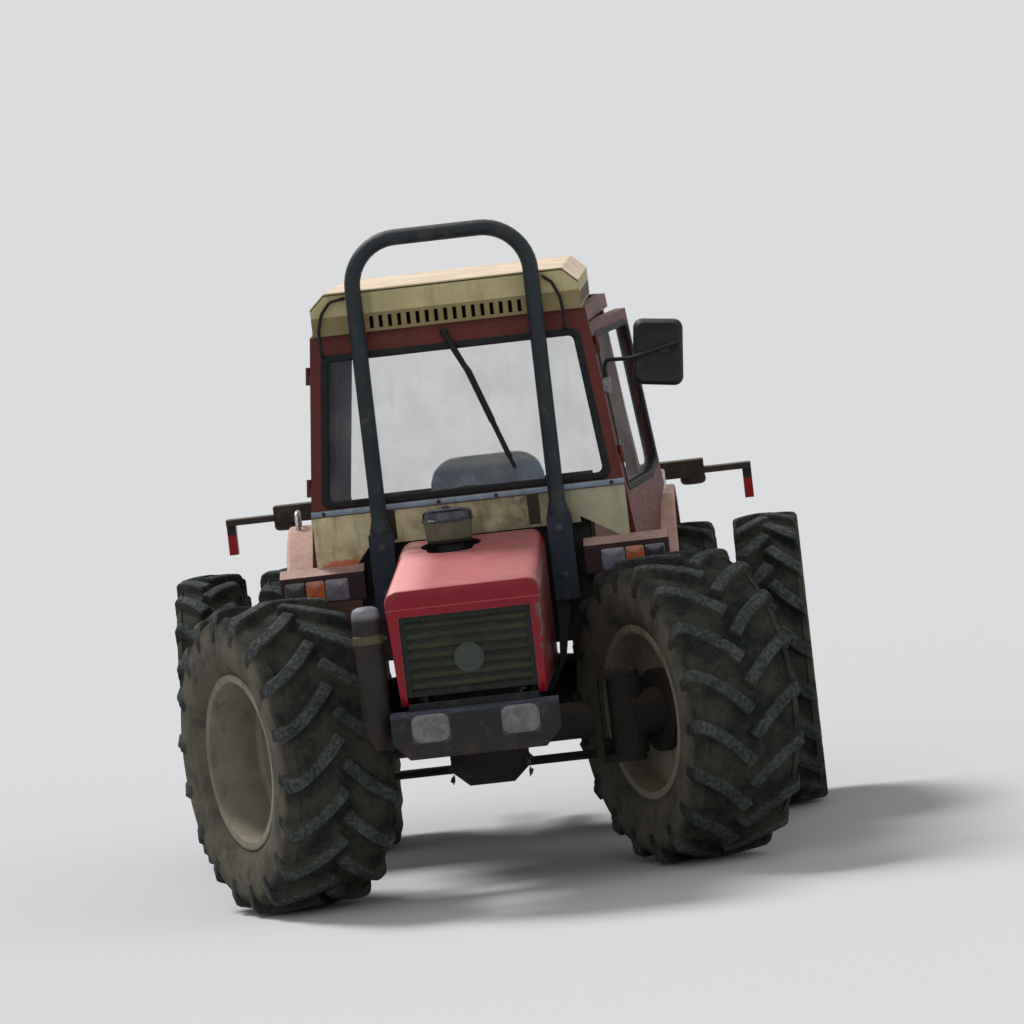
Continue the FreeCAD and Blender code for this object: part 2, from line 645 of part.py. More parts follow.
def cab_side(sign):
    rail = side_plate([(ahead(CAB_FRONT - 2 - POST), HEADER_Z - 45), (ahead(-CAB_REAR + POST), HEADER_Z - 45),
                       (ahead(-CAB_REAR + POST), HEADER_Z), (ahead(CAB_FRONT - 2 - POST), HEADER_Z)], sign, -DOOR_T, 0)
    post_y0, post_y1 = ahead(DOOR_REAR - GAP), ahead(DOOR_REAR - GAP - POST)
    post = side_plate([(post_y0, REAR_SILL_Z), (post_y1, REAR_SILL_Z), (post_y1, HEADER_Z - 20), (post_y0, HEADER_Z - 20)],
                      sign, -DOOR_T, 0)
    return join([rail, post])


def door_outline():
    low_rear = ahead(DOOR_REAR)
    arch = FENDER_R + 20 + GAP
    points = [(ahead(DOOR_FRONT), HEADER_Z - 45 - GAP), (low_rear, HEADER_Z - 45 - GAP), (low_rear, fender_arc(low_rear, arch))]
    for step in (0.35, 0.6, 0.8):
        y = low_rear + (ahead(arch * 0.88) - low_rear) * step
        points.append((y, fender_arc(y, arch)))
    y = ahead(arch * 0.9)
    points += [(y, DOOR_LOW), (ahead(DOOR_FRONT - 60), DOOR_LOW), (ahead(DOOR_FRONT), DOOR_LOW + 120)]
    return points


def door_window():
    edge = 42.0
    return [(ahead(DOOR_FRONT - edge), HEADER_Z - 45 - GAP - edge), (ahead(DOOR_REAR + edge), HEADER_Z - 45 - GAP - edge),
            (ahead(DOOR_REAR + edge), 1180), (ahead(DOOR_REAR + 200), 1150), (ahead(DOOR_FRONT - edge), 1150)]


DOOR_AJAR = 5.5            # degrees, the left door stands a little open
DOOR_OPEN = 60.0
HINGE_OUT = 9.0            # door hinge axis, outside the cab's side
HINGE_AT = (1235.0, 1590.0)
BARREL_R = 8.0
BARREL_H = 28.0
BARREL_PIN_R = 4.0
lean = (CAB_BELT_W - CAB_TOP_W) / 2 / (HEADER_Z - BELT_Z)
hinge_y = ahead(DOOR_FRONT + GAP / 2)


def on_hinge(sign, z):
    return V(sign * (cab_half(z) + HINGE_OUT), hinge_y, z)


def hinge_up(sign):
    return V(-sign * lean, 0, 1).normalize()


def hinge_half(sign, z, on_door):
    """Half of a hinge: a leaf on the panel, and a barrel with the pin or round it."""
    up = hinge_up(sign)
    base = on_hinge(sign, z)
    if on_door:
        base = base + up * (BARREL_H + SEAT_GAP)
        leaf = side_plate([(hinge_y, z + 30), (hinge_y + 46, z + 30), (hinge_y + 46, z + 54), (hinge_y, z + 54)],
                          sign, -2, 5)
        return [leaf, Part.makeCylinder(BARREL_R, BARREL_H, base, up)]
    leaf = side_plate([(hinge_y - 40, z + 2), (hinge_y, z + 2), (hinge_y, z + 26), (hinge_y - 40, z + 26)], sign, -5, 5)
    return [leaf, Part.makeCylinder(BARREL_R, BARREL_H, base, up),
            Part.makeCylinder(BARREL_PIN_R, 2 * BARREL_H, base, up)]


def door(sign):
    frame = side_plate(door_outline(), sign, -DOOR_T, 0)
    frame = frame.cut(side_plate(door_window(), sign, -DOOR_T - 5, 5))
    for z in HINGE_AT:
        frame = join([frame] + hinge_half(sign, z, True))
        frame = frame.cut(Part.makeCylinder(BARREL_PIN_R + PIN_GAP, 2 * BARREL_H + 2, on_hinge(sign, z), hinge_up(sign)))
    return frame


def post_hinges(frame):
    """Front frame with the fixed halves of the door hinges."""
    parts = [frame]
    for sign in (-1, 1):
        for z in HINGE_AT:
            parts += hinge_half(sign, z, False)
    return join(parts)


NODES["cab_front_frame"] = post_hinges(NODES["cab_front_frame"])
for side, sign in (("left", 1), ("right", -1)):
    NODES[f"cab_side_{side}"] = cab_side(sign)
    leaf = door(sign)
    pane = side_plate(door_window(), sign, -DOOR_T / 2 - GLASS / 2, -DOOR_T / 2 + GLASS / 2)
    if side == "left":
        leaf.rotate(on_hinge(sign, BELT_Z), hinge_up(sign), -DOOR_AJAR)
        pane.rotate(on_hinge(sign, BELT_Z), hinge_up(sign), -DOOR_AJAR)
    NODES[f"door_{side}"] = leaf
    NODES[f"door_glass_{side}"] = pane

quarter_y0, quarter_y1 = ahead(DOOR_REAR - GAP - POST), ahead(-CAB_REAR + POST)
quarter = [(quarter_y0, REAR_SILL_Z), (quarter_y1, REAR_SILL_Z), (quarter_y1, HEADER_Z - 45), (quarter_y0, HEADER_Z - 45)]
NODES["cab_glass"] = Part.makeCompound([windscreen, rear_window] + [
    side_plate(quarter, sign, -DOOR_T / 2 - GLASS / 2, -DOOR_T / 2 + GLASS / 2) for sign in (-1, 1)])

# Roof: a shallow pressed box with leaning edges and a row of air slots in its front
SLOT_COUNT = 18
SLOT_W = 12.0
SLOT_H = 38.0
SLOT_PITCH = 29.5
SLOT_Z = 1770.0
SLOT_START = -267.0


def roof():
    front, rear = ahead(ROOF_FRONT), ahead(-ROOF_REAR)
    half, top = ROOF_W / 2, ROOF_TOP_W / 2
    outline = [(-half, HEADER_Z + 0.5), (half, HEADER_Z + 0.5), (half, ROOF_EDGE_Z), (top, ROOF_TOP_Z), (-top, ROOF_TOP_Z),
               (-half, ROOF_EDGE_Z)]
    outer = slab_y(outline, front, rear)
    t = 18.0
    inside = [(-half + t, HEADER_Z - 5), (half - t, HEADER_Z - 5), (half - t, ROOF_EDGE_Z - 8), (top - t / 2, ROOF_TOP_Z - t),
              (-top + t / 2, ROOF_TOP_Z - t), (-half + t, ROOF_EDGE_Z - 8)]
    shell = outer.cut(slab_y(inside, front + t, rear - t))
    slots = [box(SLOT_START + i * SLOT_PITCH - SLOT_W / 2, SLOT_START + i * SLOT_PITCH + SLOT_W / 2,
                 front - 1, front + t + 1, SLOT_Z - SLOT_H / 2, SLOT_Z + SLOT_H / 2) for i in range(SLOT_COUNT)]
    return shell.cut(slots)


NODES["roof"] = roof()

# Seat, steering wheel and its column


def seat_cushion():
    y = ahead(SEAT_Y)
    return box(-200, 240, y - 200, y + 180, 870, 955)


def seat_back():
    y = ahead(SEAT_Y) + 180 + SEAT_GAP
    return box(-160, 220, y, y + 70, 930, 1262)


def seat_frame():
    y = ahead(SEAT_Y)
    pedestal = box(-120, 160, y - 120, y + 120, PLATFORM_Z + WALL, 862)
    pan = box(-190, 230, y - 190, y + 264, 862, 869.7)
    back = box(-120, 180, y + 250 + 2 * SEAT_GAP, y + 264, 862, 1150)
    return join([pedestal, pan, back])


def steering():
    y = ahead(620)
    column = rod((0, ahead(780), FLOOR_Z + 30), (0, y, 1080), 32)
    foot = Part.makeCylinder(48, 50, V(0, ahead(780), FLOOR_Z))
    wheel = Part.makeTorus(175, 14, V(0, y, 1100), V(0, 0.55, 0.83))
    hub = Part.makeCylinder(40, 26, V(0, y, 1080), V(0, 0.55, 0.83))
    axis = V(0, 0.55, 0.83).normalize()
    across = V(1, 0, 0)
    along = axis.cross(across)
    parts = [foot, column, wheel, hub]
    middle = V(0, y, 1100)
    for angle in (90, 210, 330):
        direction = across * math.cos(math.radians(angle)) + along * math.sin(math.radians(angle))
        parts.append(rod(tuple(middle), tuple(middle + direction * 175), 9))
    return join(parts)


NODES["seat_frame"] = seat_frame()
NODES["seat_cushion"] = seat_cushion()
NODES["seat_back"] = seat_back()
NODES["steering_wheel"] = steering()

# Front lamp boxes on each side of the bonnet, and rear fenders
LAMP_BOX_FRONT = 985.0
LAMP_BOX_REAR = 895.0


def front_wings():
    wings = []
    for sign in (-1, 1):
        x0, x1 = sorted((sign * 350, sign * 620))
        outline = [(ahead(LAMP_BOX_FRONT), 900), (ahead(LAMP_BOX_REAR), 900), (ahead(LAMP_BOX_REAR), 1010),
                   (ahead(CAB_FRONT), 1010), (ahead(LAMP_BOX_FRONT), 990)]
        wings.append(slab_x(outline, x0, x1))
    return Part.makeCompound(wings)


def fender(sign):
    """Arched plate over the inner rear tyre, closed to the cab by its inner edge."""
    x0, x1 = sorted((sign * (INNER_HALF + 0.5), sign * 640))
    ring = Part.makeCylinder(FENDER_R + 10, x1 - x0, V(x0, rear_y, axle_z), V(1, 0, 0))
    ring = ring.cut(Part.makeCylinder(FENDER_R, x1 - x0, V(x0, rear_y, axle_z), V(1, 0, 0)))
    return ring.common(box(-900, 900, ahead(FENDER_R), ahead(-520), FLOOR_Z, 1200))


NODES["front_wings"] = front_wings()
NODES["rear_fenders"] = Part.makeCompound([fender(1), fender(-1)])

# Mirror on its bent arm


def mirror():
    y = ahead(CAB_FRONT + 35)
    glass_box = box(560, 743, y - 25, y + 5, 1450, 1690)
    arm = [rod((480, ahead(905), 1486), (520, ahead(905), 1560), 7), rod((520, ahead(905), 1560), (600, y, 1570), 7)]
    clamp = slab_y([(cab_half(1460) + SEAT_GAP, 1460), (492, 1460), (492, 1512), (cab_half(1512) + SEAT_GAP, 1512)],
                   ahead(922), ahead(890))
    return join([glass_box, clamp] + arm)


NODES["mirror"] = mirror()

# Rear carrier bar with its lamps
BAR_BEHIND = 650.0


def carrier_bar():
    y = ahead(-BAR_BEHIND)
    bar = box(-900, 894, y - 40, y + 40, 1080, 1100)
    arms = [box(s * 300 - 20, s * 300 + 20, ahead(-CAB_REAR), y - 40, 1075, 1115) for s in (-1, 1)]
    return join([bar] + arms)


NODES["carrier_bar"] = carrier_bar()
NODES["tail_lamps"] = Part.makeCompound([box(x - 15, x + 15, ahead(-BAR_BEHIND) - 25, ahead(-BAR_BEHIND) + 25, 980, 1080)
                                         for x in (-885, 879)])

# Rear hitch: rockshaft with its arms, lift rods, lower links, drawbar


def hitch():
    y0 = ahead(-LINK_PIVOT_BEHIND)
    y_end = ahead(-REAR_OVERHANG + LINK_BALL_R)
    y_rod = y0 + LIFT_ARM
    x_at_rod = LINK_PIVOT_X + (LINK_END_X - LINK_PIVOT_X) * LIFT_ARM / (y_end - y0)
    side_face = x_at_rod + 11
    left = {}
    bar = slab_z([(LINK_PIVOT_X - 9, y0), (LINK_PIVOT_X + 9, y0), (LINK_END_X + 9, y_end), (LINK_END_X - 9, y_end)],
                 LINK_PIVOT_Z - 30, LINK_PIVOT_Z + 30)
    along = V(1, 0, 0)
    eye = Part.makeCylinder(34, 24, V(LINK_PIVOT_X - 12, y0, LINK_PIVOT_Z), along)
    ball = Part.makeCylinder(LINK_BALL_R, 35, V(LINK_END_X - 17.5, y_end, LINK_PIVOT_Z), along)
    pad = box(x_at_rod, side_face, y_rod - 20, y_rod + 20, LINK_PIVOT_Z - 20, LINK_PIVOT_Z + 20)
    pin = Part.makeCylinder(ROD_PIN_R, 36, V(x_at_rod, y_rod, LINK_PIVOT_Z), along)
    link = join([bar, eye, ball, pad, pin])
    link = link.cut(Part.makeCylinder(LINK_BORE_R, 40, V(LINK_END_X - 20, y_end, LINK_PIVOT_Z), along))
    left["lower_link"] = link.cut(Part.makeCylinder(LINK_PIN_R + PIN_GAP, 30, V(LINK_PIVOT_X - 15, y0, LINK_PIVOT_Z), along))
    x_rod = side_face + SEAT_GAP
    lift = rod((x_rod + 12, y_rod, LINK_PIVOT_Z), (x_rod + 12, y_rod, ARM_PIVOT_Z), 11)
    eyes = [Part.makeCylinder(22, 24, V(x_rod, y_rod, z), along) for z in (LINK_PIVOT_Z, ARM_PIVOT_Z)]
    lift = join([lift] + eyes)
    for z in (LINK_PIVOT_Z, ARM_PIVOT_Z):
        lift = lift.cut(Part.makeCylinder(ROD_PIN_R + PIN_GAP, 24, V(x_rod, y_rod, z), along))
    left["lift_rod"] = lift
    for name, shape in left.items():
        NODES[f"{name}_left"] = shape
        NODES[f"{name}_right"] = mirrored(shape)
    arm = slab_x([(y0 - 35, ARM_PIVOT_Z - 35), (y_rod + 22, ARM_PIVOT_Z - 20), (y_rod + 22, ARM_PIVOT_Z + 20),
                  (y0 - 35, ARM_PIVOT_Z + 35)], side_face - 20, side_face)
    arm = join([arm, Part.makeCylinder(ROD_PIN_R, 36, V(side_face - 10, y_rod, ARM_PIVOT_Z), along)])
    shaft = rod((-side_face, y0, ARM_PIVOT_Z), (side_face, y0, ARM_PIVOT_Z), ROCKSHAFT_R)
    NODES["lift_arms"] = join([shaft, arm, mirrored(arm)])


hitch()
draw = box(-45, 45, ahead(-150), ahead(-520), 330, 355)
NODES["drawbar"] = join([draw, box(-60, 60, ahead(-100), ahead(-205), 355, 420)]).cut(
    Part.makeCylinder(14, 60, V(0, ahead(-480), 320)))

# Wiper
NODES["wiper"] = join([
    rod((-15, ahead(CAB_FRONT - 2), 1713), (-15, ahead(CAB_FRONT + 16), 1713), 12),
    rod((-15, ahead(CAB_FRONT + 12), 1713), (54, ahead(CAB_FRONT + 12), 1568), 5),
    rod((54, ahead(CAB_FRONT + 12), 1568), (162, ahead(CAB_FRONT + 12), 1259), 7),
])

os.makedirs("parts", exist_ok=True)
for name, shape in NODES.items():
    shape.exportStep(f"parts/{name}.step")
    solids = len(shape.Solids)
    print(f"{name:24s} solids {solids} valid {shape.isValid()}")
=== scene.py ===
"""Surfaces and finishes of a narrow farm tractor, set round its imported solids.

Metres. The front faces -Y, +X is the machine's left and +Z is up, as in the solids.
"""

import json
import math

import bmesh
import bpy
import numpy as np
from mathutils import Matrix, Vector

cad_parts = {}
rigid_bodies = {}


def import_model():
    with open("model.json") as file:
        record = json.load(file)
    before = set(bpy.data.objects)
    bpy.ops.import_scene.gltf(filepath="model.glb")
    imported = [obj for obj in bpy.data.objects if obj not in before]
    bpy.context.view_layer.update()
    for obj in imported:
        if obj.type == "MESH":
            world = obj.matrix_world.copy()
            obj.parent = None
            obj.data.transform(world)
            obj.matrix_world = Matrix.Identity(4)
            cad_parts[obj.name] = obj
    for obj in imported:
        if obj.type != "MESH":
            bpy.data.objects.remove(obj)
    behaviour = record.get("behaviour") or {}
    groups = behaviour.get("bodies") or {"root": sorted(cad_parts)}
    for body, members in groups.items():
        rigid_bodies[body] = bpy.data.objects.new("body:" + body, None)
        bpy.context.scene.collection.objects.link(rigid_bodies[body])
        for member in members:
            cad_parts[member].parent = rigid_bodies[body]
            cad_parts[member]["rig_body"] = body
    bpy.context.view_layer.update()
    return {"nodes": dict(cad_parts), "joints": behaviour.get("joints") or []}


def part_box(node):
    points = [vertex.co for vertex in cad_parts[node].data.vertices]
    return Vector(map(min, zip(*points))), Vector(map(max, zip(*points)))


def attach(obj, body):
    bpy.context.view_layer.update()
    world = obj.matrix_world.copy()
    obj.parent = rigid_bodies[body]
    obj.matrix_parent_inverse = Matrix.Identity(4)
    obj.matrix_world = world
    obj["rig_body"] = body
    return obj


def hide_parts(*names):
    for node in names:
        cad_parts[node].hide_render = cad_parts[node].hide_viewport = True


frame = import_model()

# Studio: the machine stands on a pale matt floor, and the background has the floor's own lit
# colour, so no horizon shows. One broad lamp comes from high behind the right side, as the
# daylight did, and two weaker ones fill the front. The camera looks from far off, a little turned.
AZIMUTH, ELEVATION, ROLL = np.radians((2.367, 3.649, 6.58))
CAMERA_FAR = 23.319
CAMERA_LENS = 247.8
AIM = np.array((0.0969, 0.634, 1.06))
LAMPS = {    # where each lamp stands, its strength and how broad it is in degrees
    "key": ((-5.0, 5.0, 9.0), 3.0, 18),
    "fill": ((-3.0, -9.0, 4.5), 0.68, 60),
    "side": ((8.0, -4.0, 4.0), 0.5, 60),
}
SKY = np.array((0.93, 0.96, 1.0)) * 0.38
FLOOR_SHADE = 0.56


def studio_camera():
    back = np.array((math.sin(AZIMUTH) * math.cos(ELEVATION), -math.cos(AZIMUTH) * math.cos(ELEVATION),
                     math.sin(ELEVATION)))
    right = np.array((math.cos(AZIMUTH), math.sin(AZIMUTH), 0.0))
    up = np.cross(back, right)
    across = math.cos(ROLL) * right - math.sin(ROLL) * up
    upright = math.sin(ROLL) * right + math.cos(ROLL) * up
    data = bpy.data.cameras.new("camera")
    data.lens = CAMERA_LENS
    data.clip_end = 2000
    camera = bpy.data.objects.new("camera", data)
    place = np.eye(4)
    place[:3, :3] = np.stack((across, upright, back), axis=1)
    place[:3, 3] = AIM + back * CAMERA_FAR
    camera.matrix_world = Matrix(place)
    bpy.context.scene.collection.objects.link(camera)
    bpy.context.scene.camera = camera


def studio_lamps():
    for name, (stand, strength, broad) in LAMPS.items():
        data = bpy.data.lights.new(name, "SUN")
        data.energy = strength
        data.angle = math.radians(broad)
        lamp = bpy.data.objects.new(name, data)
        away = np.array(stand) / np.linalg.norm(stand)
        side = np.cross((0, 0, 1), away)
        side /= np.linalg.norm(side)
        place = np.eye(4)
        place[:3, :3] = np.stack((side, np.cross(away, side), away), axis=1)
        lamp.matrix_world = Matrix(place)
        bpy.context.scene.collection.objects.link(lamp)


def floor_light():
    """Light that the floor gives back: from each lamp its strength by the sine of its height, and the sky's."""
    lamps = sum(strength * stand[2] / np.linalg.norm(stand) / np.pi for stand, strength, _ in LAMPS.values())
    return FLOOR_SHADE * (lamps + SKY)


def studio_world():
    """Even light from all round; the camera and mirror-like surfaces see the pale background."""
    world = bpy.data.worlds.new("studio")
    world.use_nodes = True
    nodes, links = world.node_tree.nodes, world.node_tree.links
    lit = nodes["Background"]
    lit.inputs["Color"].default_value = (*SKY, 1.0)
    seen = nodes.new("ShaderNodeBackground")
    seen.inputs["Color"].default_value = (*floor_light(), 1.0)
    mix, path = nodes.new("ShaderNodeMixShader"), nodes.new("ShaderNodeLightPath")
    kinds = [path.outputs[f"Is {kind} Ray"] for kind in ("Camera", "Transmission", "Glossy")]
    share = kinds[0]
    for kind in kinds[1:]:
        either = nodes.new("ShaderNodeMath")
        either.operation = "MAXIMUM"
        links.new(share, either.inputs[0])
        links.new(kind, either.inputs[1])
        share = either.outputs[0]
    links.new(share, mix.inputs[0])
    links.new(lit.outputs[0], mix.inputs[1])
    links.new(seen.outputs[0], mix.inputs[2])
    links.new(mix.outputs[0], nodes["World Output"].inputs[0])
    bpy.context.scene.world = world


def studio_floor():
    mesh = bpy.data.meshes.new("floor")
    reach = 900.0
    mesh.from_pydata([(-reach, -reach, 0), (reach, -reach, 0), (reach, reach, 0), (-reach, reach, 0)], [],
                     [(0, 1, 2, 3)])
    floor = bpy.data.objects.new("floor", mesh)
    pale = bpy.data.materials.new("floor_pale")
    pale.use_nodes = True
    shader = pale.node_tree.nodes["Principled BSDF"]
    shader.inputs["Base Color"].default_value = (FLOOR_SHADE, FLOOR_SHADE, FLOOR_SHADE, 1.0)
    shader.inputs["Roughness"].default_value = 1.0
    shader.inputs["Specular IOR Level"].default_value = 0.0
    mesh.materials.append(pale)
    bpy.context.scene.collection.objects.link(floor)


studio_camera()
studio_lamps()
studio_world()
studio_floor()
bpy.context.scene.view_settings.view_transform = "Standard"

# Tyres: black cross-ply farm tyres, each moulded in one with two staggered rows of curved lugs.
# The lugs run from the middle of the tread out over the shoulder. Their tops are worn grey under
# a painted bluish sheen; dry soil packs the grooves between them and lies over the sidewalls. The front pair points the
# other way.
LUG_COUNT = {"front_tyre": 18, "rear_tyre": 18, "twin_tyre": 20}
LUG_SKEW = {"front_tyre": 17.0, "rear_tyre": -17.0, "twin_tyre": -12.0}    # degrees, middle to shoulder
LUG_HEIGHT = 0.028
LUG_HALF = 0.0205          # half a lug's width near the shoulder
CROWN_DROP = 0.010         # the tread is this much lower at its shoulders
BEAD = 0.2545              # radius where the tyre meets its rim
MAIN_HALF = 0.185          # half a main tyre's section


def tone(red, green, blue):
    """Colour read off the picture, 0 to 255, as linear light."""
    shares = np.array((red, green, blue)) / 255
    linear = np.where(shares <= 0.04045, shares / 12.92, ((shares + 0.055) / 1.055) ** 2.4)
    return (*linear.tolist(), 1.0)


class Signal:
    """A socket of a material. Arithmetic on values adds Math nodes."""

    def __init__(self, socket):
        self.socket = socket

    @staticmethod
    def maths(operation, first, second=0.0):
        given = first if isinstance(first, Signal) else second
        node = given.socket.id_data.nodes.new("ShaderNodeMath")
        node.operation = operation
        for place, value in zip(node.inputs, (first, second)):
            feed(place, value)
        return Signal(node.outputs[0])

    def __add__(self, other):
        return Signal.maths("ADD", self, other)

    def __sub__(self, other):
        return Signal.maths("SUBTRACT", self, other)

    def __rsub__(self, other):
        return Signal.maths("SUBTRACT", other, self)

    def __mul__(self, other):
        return Signal.maths("MULTIPLY", self, other)

    def __pow__(self, other):
        return Signal.maths("POWER", self, other)

    __radd__ = __add__
    __rmul__ = __mul__


def feed(place, value):
    """Links a signal to a socket, or writes a plain value into it."""
    if isinstance(value, Signal):
        place.id_data.links.new(value.socket, place)
    else:
        place.default_value = value


class Finish:
    """A new material: its shader, and the one method that adds any other node."""

    def __init__(self, name, **plain):
        self.material = bpy.data.materials.new(name)
        self.material.use_nodes = True
        self.tree = self.material.node_tree
        self.shader = self.tree.nodes["Principled BSDF"]
        self.place = self.node("ShaderNodeTexCoord", out="Object")
        for socket, value in plain.items():
            self.set(socket.replace("_", " "), value)

    def node(self, kind, settings=(), sockets=(), out=0):
        """Adds a node: first its settings, then its sockets, each a value or a signal."""
        node = self.tree.nodes.new(kind)
        for key, value in dict(settings).items():
            setattr(node, key, value)
        for key, value in dict(sockets).items():
            feed(node.inputs[key], value)
        return Signal(node.outputs[out])

    def set(self, socket, value):
        feed(self.shader.inputs[socket], value)
        return self

    def between(self, value, low, high):
        """Runs smoothly from 0 at low to 1 at high."""
        return self.node("ShaderNodeMapRange", {"interpolation_type": "SMOOTHSTEP"},
                         {0: value, 1: low, 2: high, 3: 0.0, 4: 1.0})

    def cloud(self, size, low=0.4, high=0.6, detail=4.0, stretch=(1, 1, 1), where=None):
        """Soft patches about this large, in metres, cut to run from 0 to 1."""
        where = where or self.node("ShaderNodeMapping", {}, {"Vector": self.place, "Scale": stretch})
        noise = self.node("ShaderNodeTexNoise", {}, {"Vector": where, "Scale": 1.0 / size, "Detail": detail,
                                                     "Roughness": 0.62})
        return self.between(noise, low, high)

    def mix(self, share, first, second):
        """Colour that runs from the first to the second."""
        return self.node("ShaderNodeMix", {"data_type": "RGBA"}, {0: share, 6: first, 7: second}, out=2)

    def part(self, vector, axis):
        """One of a vector's three values."""
        return self.node("ShaderNodeSeparateXYZ", {}, {0: vector}, out=axis)

    def facing_up(self, low=0.3, high=0.9):
        """1 where the surface faces up in the piece's own frame."""
        return self.between(self.part(self.node("ShaderNodeTexCoord", out="Normal"), 2), low, high)

    def edges(self, radius=0.004, low=0.03, high=0.25):
        """1 along sharp edges, found from how far the rounded normal leans from the real one."""
        soft = self.node("ShaderNodeBevel", {"samples": 4}, {"Radius": radius})
        real = self.node("ShaderNodeNewGeometry", out="Normal")
        lean = self.node("ShaderNodeVectorMath", {"operation": "DOT_PRODUCT"}, {0: soft, 1: real}, out="Value")
        return self.between(1 - lean, low, high)

    def bump(self, height, depth, soft=0.0):
        """Relief of this depth, in metres, on the shader's normal; soft also rounds sharp edges this much."""
        sockets = {"Height": height, "Distance": depth, "Strength": 1.0}
        if soft:
            sockets["Normal"] = self.node("ShaderNodeBevel", {"samples": 4}, {"Radius": soft})
        return self.set("Normal", self.node("ShaderNodeBump", {}, sockets))


def unit(vectors):
    return vectors / np.linalg.norm(vectors, axis=-1, keepdims=True)


class Shape:
    """Grids of points put together as one mesh."""

    def __init__(self):
        self.points, self.faces, self.values, self.count = [], [], [], 0

    def grid(self, points, rows=False, columns=False, ends=False, value=0.0, keep=None):
        """Quads over points[..., row, column, xyz]; each leading index is one more copy.

        rows and columns say which way closes on itself. ends puts a cap on the first and last
        row. value is kept at each point for the material to read. keep says which quads of an
        open grid stay.
        """
        points = np.asarray(points, float)
        copies = points.reshape(-1, *points.shape[-3:])
        many, n, m = copies.shape[:3]
        index = np.arange(n * m).reshape(n, m)
        if rows:
            index = np.vstack((index, index[:1]))
        if columns:
            index = np.hstack((index, index[:, :1]))
        quads = np.stack((index[:-1, :-1], index[:-1, 1:], index[1:, 1:], index[1:, :-1]), -1)
        quads = quads.reshape(-1, 4) if keep is None else quads[keep]
        shift = self.count + np.arange(many)[:, None, None] * (n * m)
        self.faces += (quads + shift).reshape(-1, 4).tolist()
        if ends:
            caps = np.stack((np.arange(m)[::-1], (n - 1) * m + np.arange(m)))
            self.faces += (caps + shift).reshape(-1, m).tolist()
        self.points.append(copies.reshape(-1, 3))
        self.values.append(np.broadcast_to(value, copies.shape[:3]).ravel())
        self.count += many * n * m
        return self

    def make(self, name, finish, body, slot, stands_for=(), smooth=35, bevel=0.0, segments=2):
        """The finished piece: doubles merged, faces turned outwards, edges rounded by bevel."""
        mesh = bpy.data.meshes.new(name)
        mesh.from_pydata(np.concatenate(self.points).tolist(), [], self.faces)
        kept = mesh.attributes.new("value", "FLOAT", "POINT")
        kept.data.foreach_set("value", np.concatenate(self.values).astype(np.float32))
        work = bmesh.new()
        work.from_mesh(mesh)
        bmesh.ops.remove_doubles(work, verts=work.verts, dist=2e-6)
        bmesh.ops.dissolve_degenerate(work, edges=work.edges, dist=1e-6)
        bmesh.ops.recalc_face_normals(work, faces=work.faces)
        work.to_mesh(mesh)
        work.free()
        mesh.polygons.foreach_set("use_smooth", np.ones(len(mesh.polygons), bool))
        mesh.set_sharp_from_angle(angle=math.radians(smooth))
        mesh.materials.append(finish.material)
        piece = bpy.data.objects.new(name, mesh)
        bpy.context.scene.collection.objects.link(piece)
        if bevel:
            rounding = piece.modifiers.new("rounding", "BEVEL")
            rounding.width, rounding.segments, rounding.limit_method = bevel, segments, "ANGLE"
            rounding.angle_limit = math.radians(smooth)
            rounding.harden_normals = True
        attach(piece, body)
        if stands_for:
            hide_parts(*stands_for)
        return piece


def body_of(node):
    """The moving body that a solid belongs to."""
    return frame["nodes"][node]["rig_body"]


def wheel_frame(node):
    """Middle of a wheel's solid, its axle's outward direction, straight up and the third direction."""
    low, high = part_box(node)
    middle = (np.array(low) + np.array(high)) / 2
    axle = next(np.array(j["axis"], float) for j in frame["joints"] if j["child"] == body_of(node))
    axle = unit(axle) * np.sign(axle[0] * middle[0])
    up = np.array((0.0, 0.0, 1.0))
    return middle, axle, up, np.cross(up, axle)


def around(wheel, along, radius, turn):
    """Points at these distances along the axle, radii and angles from straight up, by a wheel's frame."""
    middle, axle, up, ahead = wheel
    along, radius, turn = np.broadcast_arrays(along, radius, turn)
    return (middle + along[..., None] * axle + (radius * np.cos(turn))[..., None] * up
            + (radius * np.sin(turn))[..., None] * ahead)


def smooth_line(points, steps=6):
    """Quadratic B-spline through an open row of points, starting and ending on its end points."""
    points = np.asarray(points, float)
    points = np.vstack((2 * points[0] - points[1], points, 2 * points[-1] - points[-2]))
    t = np.linspace(0, 1, steps, endpoint=False)[:, None, None]
    a, b, c = points[:-2], points[1:-1], points[2:]
    line = 0.5 * (1 - t) ** 2 * a + (0.5 + t - t * t) * b + 0.5 * t * t * c
    line = line.transpose(1, 0, 2).reshape(-1, points.shape[1])
    return np.vstack((line, (points[-2] + points[-1]) / 2))


def tread_radius(across, crown):
    """Radius of the tread's surface: it falls with the square of the distance from the middle."""
    return crown - CROWN_DROP * across ** 2


